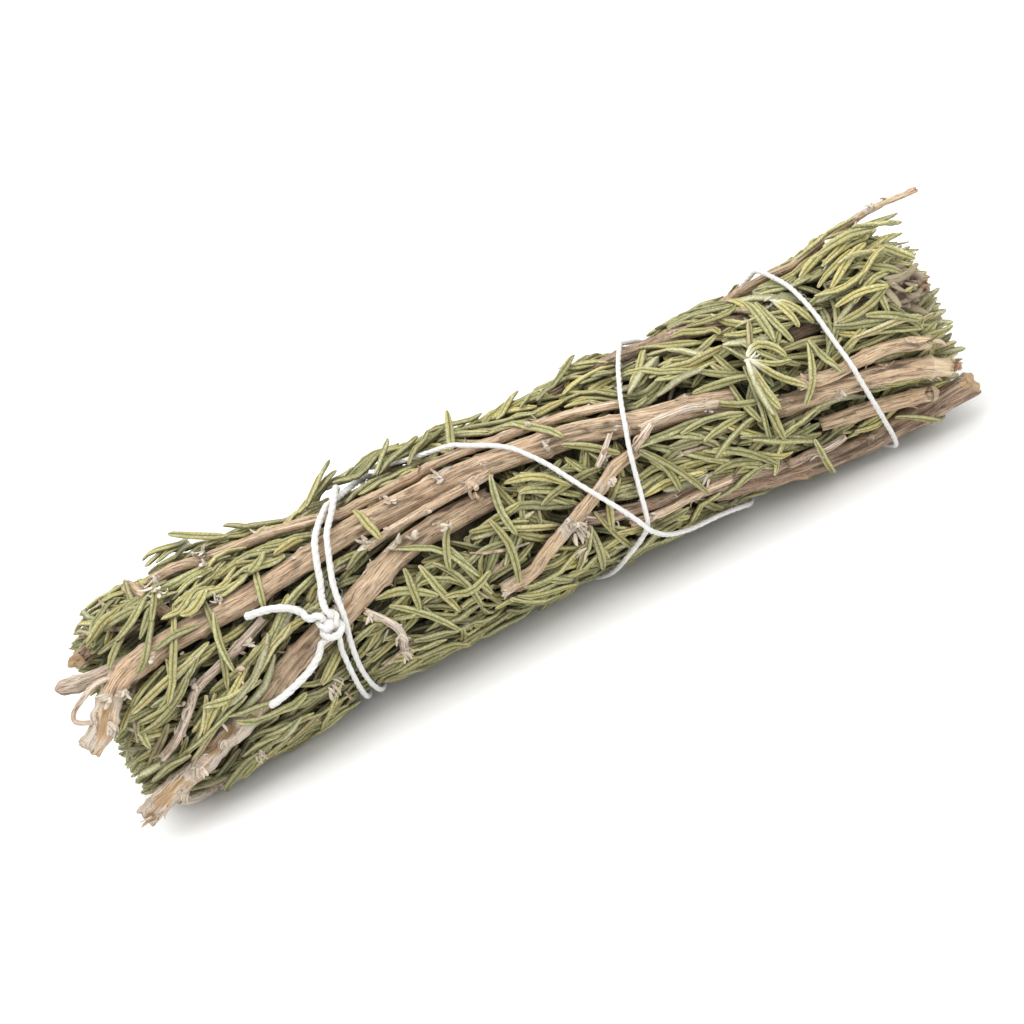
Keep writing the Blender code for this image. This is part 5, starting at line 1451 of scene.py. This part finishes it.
# Clusters of strips by tone: (x, clock, radius, heading in degrees, how many, length, width, thick,
# spread in degrees, rise, curl)
clusters = [
    ("shoot", [(72, 12, 24.6, 35, 8, 3.4, 0.8, 0.5, 120, 0.3, -0.3),
        (88, 8, 25.6, 15, 7, 3.0, 0.8, 0.5, 80, 0.3, -0.3), (59, 42, 24.2, 60, 8, 3.2, 0.8, 0.5, 110, 0.3, -0.4)]),
    ("wool", [(7.4, 78, 24.2, 90, 7, 3.2, 1.1, 0.35, 120, 0.4, 2.6),
        (8.5, 86, 23.6, 95, 6, 4.4, 1.1, 0.3, 40, 0.1, 1.2), (19.2, 68, 24.0, 60, 7, 3.0, 1.1, 0.35, 120, 0.4, 2.6),
        (19.7, 55, 23.4, 90, 7, 3.0, 1.1, 0.35, 120, 0.4, 2.2), (9.9, 34, 24.4, 90, 4, 3.6, 0.9, 0.35, 90, 0.9, 4.6),
        (8.7, 17, 24.4, 90, 5, 2.8, 1.0, 0.35, 90, 0.5, 2.6), (-17.2, 48, 23.2, 150, 5, 3.8, 1.0, 0.35, 60, 0.4, 2.4),
        (-28.7, 40, 24.4, 140, 4, 6.5, 1.2, 0.4, 40, 0.3, 2.6), (-25, 44, 23.8, 170, 5, 3.6, 1.2, 0.4, 70, 0.3, 2.6),
        (41, 93, 23.2, 150, 4, 3.0, 0.7, 0.3, 60, 0.4, -0.4), (9, 92, 23.2, 250, 7, 4.2, 0.7, 0.2, 60, 0.2, 0.8),
        (8, 81, 23.4, 20, 4, 3.2, 0.6, 0.2, 70, 0.4, 1.2), (8, 100, 23.2, 170, 5, 3.2, 0.6, 0.2, 60, 0.3, 0.6),
        (-12, 101, 22.6, 200, 5, 2.6, 0.7, 0.4, 70, 0.3, 1.0), (46, 55, 22.8, 60, 5, 2.8, 0.9, 0.2, 70, 0.4, 1.2),
        (76, 80, 23.4, 160, 5, 3.2, 1.2, 0.15, 60, 0.2, 1.8)]),
    ("buff", [(70, 69, 22.6, 200, 8, 3.8, 1.2, 0.15, 50, 0.2, 0.9),
        (100, 81, 24.8, 10, 6, 2.8, 1.0, 0.15, 45, 0.2, 0.9)]),
    ("wool", [(97, 108, 23.6, 330, 5, 2.4, 0.6, 0.15, 70, 0.4, 1.8)]),
    ("red", [(103, 99, 24.0, 340, 2, 3.6, 1.2, 0.25, 20, 0.3, 2.8)]),
    ("brown", [(104, 106, 24.2, 0, 4, 2.0, 1.0, 0.2, 50, 0.3, 1.5)]),
    ("dry", [(96, 40, 24.4, 60, 5, 7.5, 1.8, 0.4, 60, 0.1, 0.9), (96, 50, 24.2, 350, 5, 7.0, 1.8, 0.4, 60, 0.1, 0.9)]),
    ("husk", [(101, 47, 24.6, 80, 4, 4.5, 1.2, 0.25, 160, 0.5, 2.4)]),
    ("brown", [(103, 50, 23.0, 60, 6, 4.0, 1.4, 0.25, 120, 0.4, 2.6)]),
    ("cream", [(-84, -14, 25.8, 80, 9, 5.0, 1.5, 0.4, 70, 0.1, 1.2),
        (-81, -16, 25.8, 60, 8, 5.5, 1.5, 0.4, 60, 0.1, 1.0), (-83, -6, 26.0, 120, 9, 5.5, 1.3, 0.4, 60, 0.0, 0.9),
        (-82, 4, 26.0, 120, 7, 4.5, 1.2, 0.4, 60, 0.0, 0.9), (-78, -14, 25.6, 85, 6, 5.0, 1.2, 0.4, 50, 0.0, 0.9),
        (-70, -14, 25.8, 90, 8, 4.8, 1.3, 0.4, 60, 0.1, 1.0), (-71, 0, 26.0, 100, 7, 4.2, 1.2, 0.4, 60, 0.1, 1.2)]),
    ("wool", [(-84, 62, 22.8, 110, 7, 2.6, 1.0, 0.25, 80, 0.3, 1.6),
        (-88, 72, 23.2, 200, 6, 2.4, 0.9, 0.25, 80, 0.3, 1.6)]),
    ("buff", [(-74, 68, 22.8, 60, 5, 2.4, 1.0, 0.25, 80, 0.4, 1.2)]),
    ("wool", [(-70, 56, 22.6, 20, 5, 2.8, 1.0, 0.25, 60, 0.3, 0.8),
        (-64, 55, 22.4, 100, 6, 3.0, 1.1, 0.25, 70, 0.3, 1.2), (-98, 52, 26.0, 150, 8, 2.6, 1.2, 0.3, 90, 0.1, 1.2),
        (-102, 50, 26.4, 150, 8, 2.6, 1.2, 0.3, 90, 0.1, 1.2), (-104, 62, 27.0, 110, 8, 2.8, 1.2, 0.3, 80, 0.1, 1.0),
        (-84, 100, 24.4, 150, 8, 2.8, 1.1, 0.25, 90, 0.3, 1.4), (-92, 106, 25.6, 140, 9, 2.8, 1.1, 0.25, 90, 0.2, 1.4),
        (-97, 118, 26.6, 150, 8, 2.6, 1.1, 0.25, 80, 0.1, 1.0)]),
    ("buff", [(-106, 124, 26.8, 170, 8, 3.0, 0.9, 0.25, 40, 0.0, 0.5)]),
    ("wool", [(-36, 37, 24.2, 200, 8, 2.8, 1.0, 0.25, 90, 0.3, 1.6)]),
    ("buff", [(-9, 38, 24.0, 30, 14, 3.4, 1.2, 0.4, 170, 0.5, 3.4)]),
    ("wool", [(-42, 72, 24.4, 120, 7, 2.8, 0.8, 0.3, 90, 0.3, 1.2),
        (-39, 90, 24.6, 90, 7, 2.6, 0.8, 0.3, 90, 0.3, 1.2), (-39, 102, 24.6, 60, 7, 2.8, 0.8, 0.3, 90, 0.3, 1.2),
        (-26, 20, 23.6, 160, 4, 2.2, 0.9, 0.15, 60, 0.3, 1.2), (-14, 21, 23.4, 190, 5, 2.6, 1.0, 0.15, 60, 0.3, 1.2),
        (-52, 25, 23.6, 170, 4, 2.4, 0.8, 0.15, 50, 0.3, 1.0), (-90, 41, 25.4, 130, 4, 1.6, 1.1, 0.7, 60, 0.5, 1.0),
        (-83, 44, 24.8, 120, 4, 1.6, 1.1, 0.7, 60, 0.5, 1.0), (103, 364, 31.0, 180, 5, 2.0, 0.8, 0.3, 60, 0.0, 0.8),
        (-70.5, 27, 24.8, 100, 7, 2.8, 0.9, 0.3, 110, 0.3, 1.8), (-57, 102, 24.6, 60, 8, 3.4, 1.0, 0.3, 80, 0.3, 1.6),
        (-60, 94, 24.6, 150, 6, 2.8, 0.9, 0.3, 80, 0.3, 1.4), (-78, 119, 25.4, 150, 8, 3.4, 1.0, 0.3, 90, 0.4, 2.2),
        (-82, 92, 25.0, 120, 5, 2.4, 0.9, 0.3, 90, 0.3, 1.4)]),
]
# Small side twigs: thickness at both ends and the route as places
sideTwigs = {
    "hooked_twiglet": (1.5, 1.2, [(-99, 41, 24.6), (-102, 40.5, 26), (-105, 42, 26.3), (-110, 48, 26.3),
        (-110.8, 53, 26), (-107.5, 57, 26)]),
    "mid_branch_tip": (1.9, 1.6, [(27.4, 57.5, 22.6), (29.5, 55, 23.6), (31.5, 52.5, 24.1), (33.3, 50.2, 24.1)]),
    "stem_side_twig": (1.6, 2.0, [(30.5, 49, 23.6), (36, 49.5, 23.8), (42.3, 51, 23.6), (45.5, 53.5, 23.2),
        (49, 56, 22.4)]),
    "stem_side_sprig": (1.2, 1.0, [(18.2, 57, 22.6), (20.3, 53, 23.2), (22.4, 48, 23.8), (24, 44.5, 24.2)]),
}


# How far each strip strays from its cluster's values
clusterLook = {"along": 0.5, "clock": 1.2, "sunk": 0.4, "proud": 0.35, "size": (0.6, 1.2), "rise": (0.2, 1.8),
               "curl": (0.2, 1.6), "swing": 0.5}


# Each strip of a cluster starts at its place with a little scatter, at most just above what lies there
def addClusters():
    look, surface = clusterLook, np.maximum(height, shadows["poking_twig"][1])
    rows = [(*row, tone) for tone, group in clusters for row in group]
    for x, clock, wanted, heading, count, length, width, thick, fanned, rise, curl, tone in rows:
        for _ in range(count):
            way = math.radians(heading + rng.normal(0, fanned / 2))
            x0, clock0 = x + rng.normal(0, look["along"]), clock + rng.normal(0, look["clock"])
            top = surface[pileCells(x0, clock0)]
            root, axes = directionsAt(x0, clock0, np.clip(wanted, top - look["sunk"], top + look["proud"]))
            addStrip(root, axes[0] * math.cos(way) + axes[1] * math.sin(way), axes[2],
                     length * rng.uniform(*look["size"]), width * rng.uniform(*look["size"]), thick,
                     rise * rng.uniform(*look["rise"]), curl * rng.uniform(*look["curl"]),
                     rng.normal(0, look["swing"]), tone)


# The needles as pieces, one for each eighth of the way round, each in place of its leaf mass
def makeNeedles(material):
    seen, glimpsed = sortNeedles()
    print("needles seen:", len(seen), "glimpsed:", len(glimpsed))

    # Those of a group whose middle lies in one eighth of the way round
    def eighth(group, k):
        middle = needle["steps"] // 2
        return [one for one in group if int((one["clock"][middle] + 22.5) % 360 // 45) == k]

    for k, side in enumerate(("top", "top_front", "front", "under_front", "underneath", "under_back", "back",
                              "top_back")):
        piece = needlePiece("needles_" + side, eighth(seen, k), "full", material)
        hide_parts("leaves_" + side)
        inner = eighth(glimpsed, k)
        if inner:
            needlePiece("needles_" + side + "_inner", inner, "plain", material)
    needlePiece("needles_ends", laidEnds, "full", material)
    needlePiece("twiglets", laidTwiglets, "plain", plainMaterial("twigletBark"))


# The dark middle, painted shade: a closed rough tube below the needles, coloured near black to stand for the shade
# between them, its radius wavering round and along
innerTube = {"long": 97, "taper": 5, "narrow": 0.75, "under": 1.2, "waver": 0.5, "rings": 160, "around": 48}


# Its rings, narrower towards both ends, and the faces round them
def makeCore(material):
    far = innerTube["long"]
    run = np.linspace(-far, far, innerTube["rings"])[:, None]
    theta = ringAngles(innerTube["around"])[None, :]
    radius = bundle["coreRadius"] - innerTube["under"] + innerTube["waver"] * waves(77, theta, run, (1, 9), (0.1, 0.9))
    radius = radius * np.interp(np.abs(run), [far - innerTube["taper"], far], [1, innerTube["narrow"]])
    skin = toSpace(np.stack(np.broadcast_arrays(run, np.degrees(theta), radius), -1)).reshape(-1, 3)
    points = np.concatenate([skin, toSpace([(-far - 0.5, 0, 0), (far + 0.5, 0, 0)])])
    faces = tubeFaces(1, innerTube["rings"], innerTube["around"])
    newPiece("innerTwigs", points, faces, material)


# The floor, one large square
def makeFloor(half=3.0):
    mesh = bpy.data.meshes.new("floor")
    mesh.from_pydata([(-half, -half, 0), (half, -half, 0), (half, half, 0), (-half, half, 0)], [], [(0, 1, 2, 3)])
    floor = bpy.data.objects.new("floor", mesh)
    bpy.context.scene.collection.objects.link(floor)
    mesh.materials.append(plainMaterial("paleFloor"))


# Soft light from all sides, and two square lamps that face the bundle: name, place, size in metres, power
studio = {"ambient": 0.88,
          "lamps": [("key", (-0.3, 0.05, 0.85), 1.3, 11.0), ("fill", (0.55, -0.5, 0.6), 1.2, 5.0)]}


# The world's light and the lamps; each lamp is turned to face the middle
def makeLights():
    world = bpy.data.worlds.new("studio")
    world.use_nodes = True
    world.node_tree.nodes["Background"].inputs["Color"].default_value = (1, 1, 1, 1)
    world.node_tree.nodes["Background"].inputs["Strength"].default_value = studio["ambient"]
    bpy.context.scene.world = world
    bpy.context.scene.view_settings.view_transform = "Standard"
    for name, place, size, power in studio["lamps"]:
        data = bpy.data.lights.new(name, "AREA")
        data.size = size
        data.energy = power
        lamp = bpy.data.objects.new(name, data)
        bpy.context.scene.collection.objects.link(lamp)
        lamp.location = place
        lamp.rotation_euler = (-Vector(place)).to_track_quat("-Z", "Y").to_euler()


makeNeedles(needleMaterial())
addClusters()
for seed, (name, (first, last, route)) in enumerate(sideTwigs.items()):
    line = smoothLine(toSpace(route), 0.5)
    barkPiece(name, 31 + seed, line, np.linspace(first, last, len(line)) / 2, barks["grey_bark"])
flaky = stripMaterial()
stripPiece("barkFlakes", flaky)
driedLeaf(flaky)
print("flakes and shoot tips:", len(strips["rows"]))
makeCore(plainMaterial("paintedShadeMiddle"))
makeFloor()
makeLights()
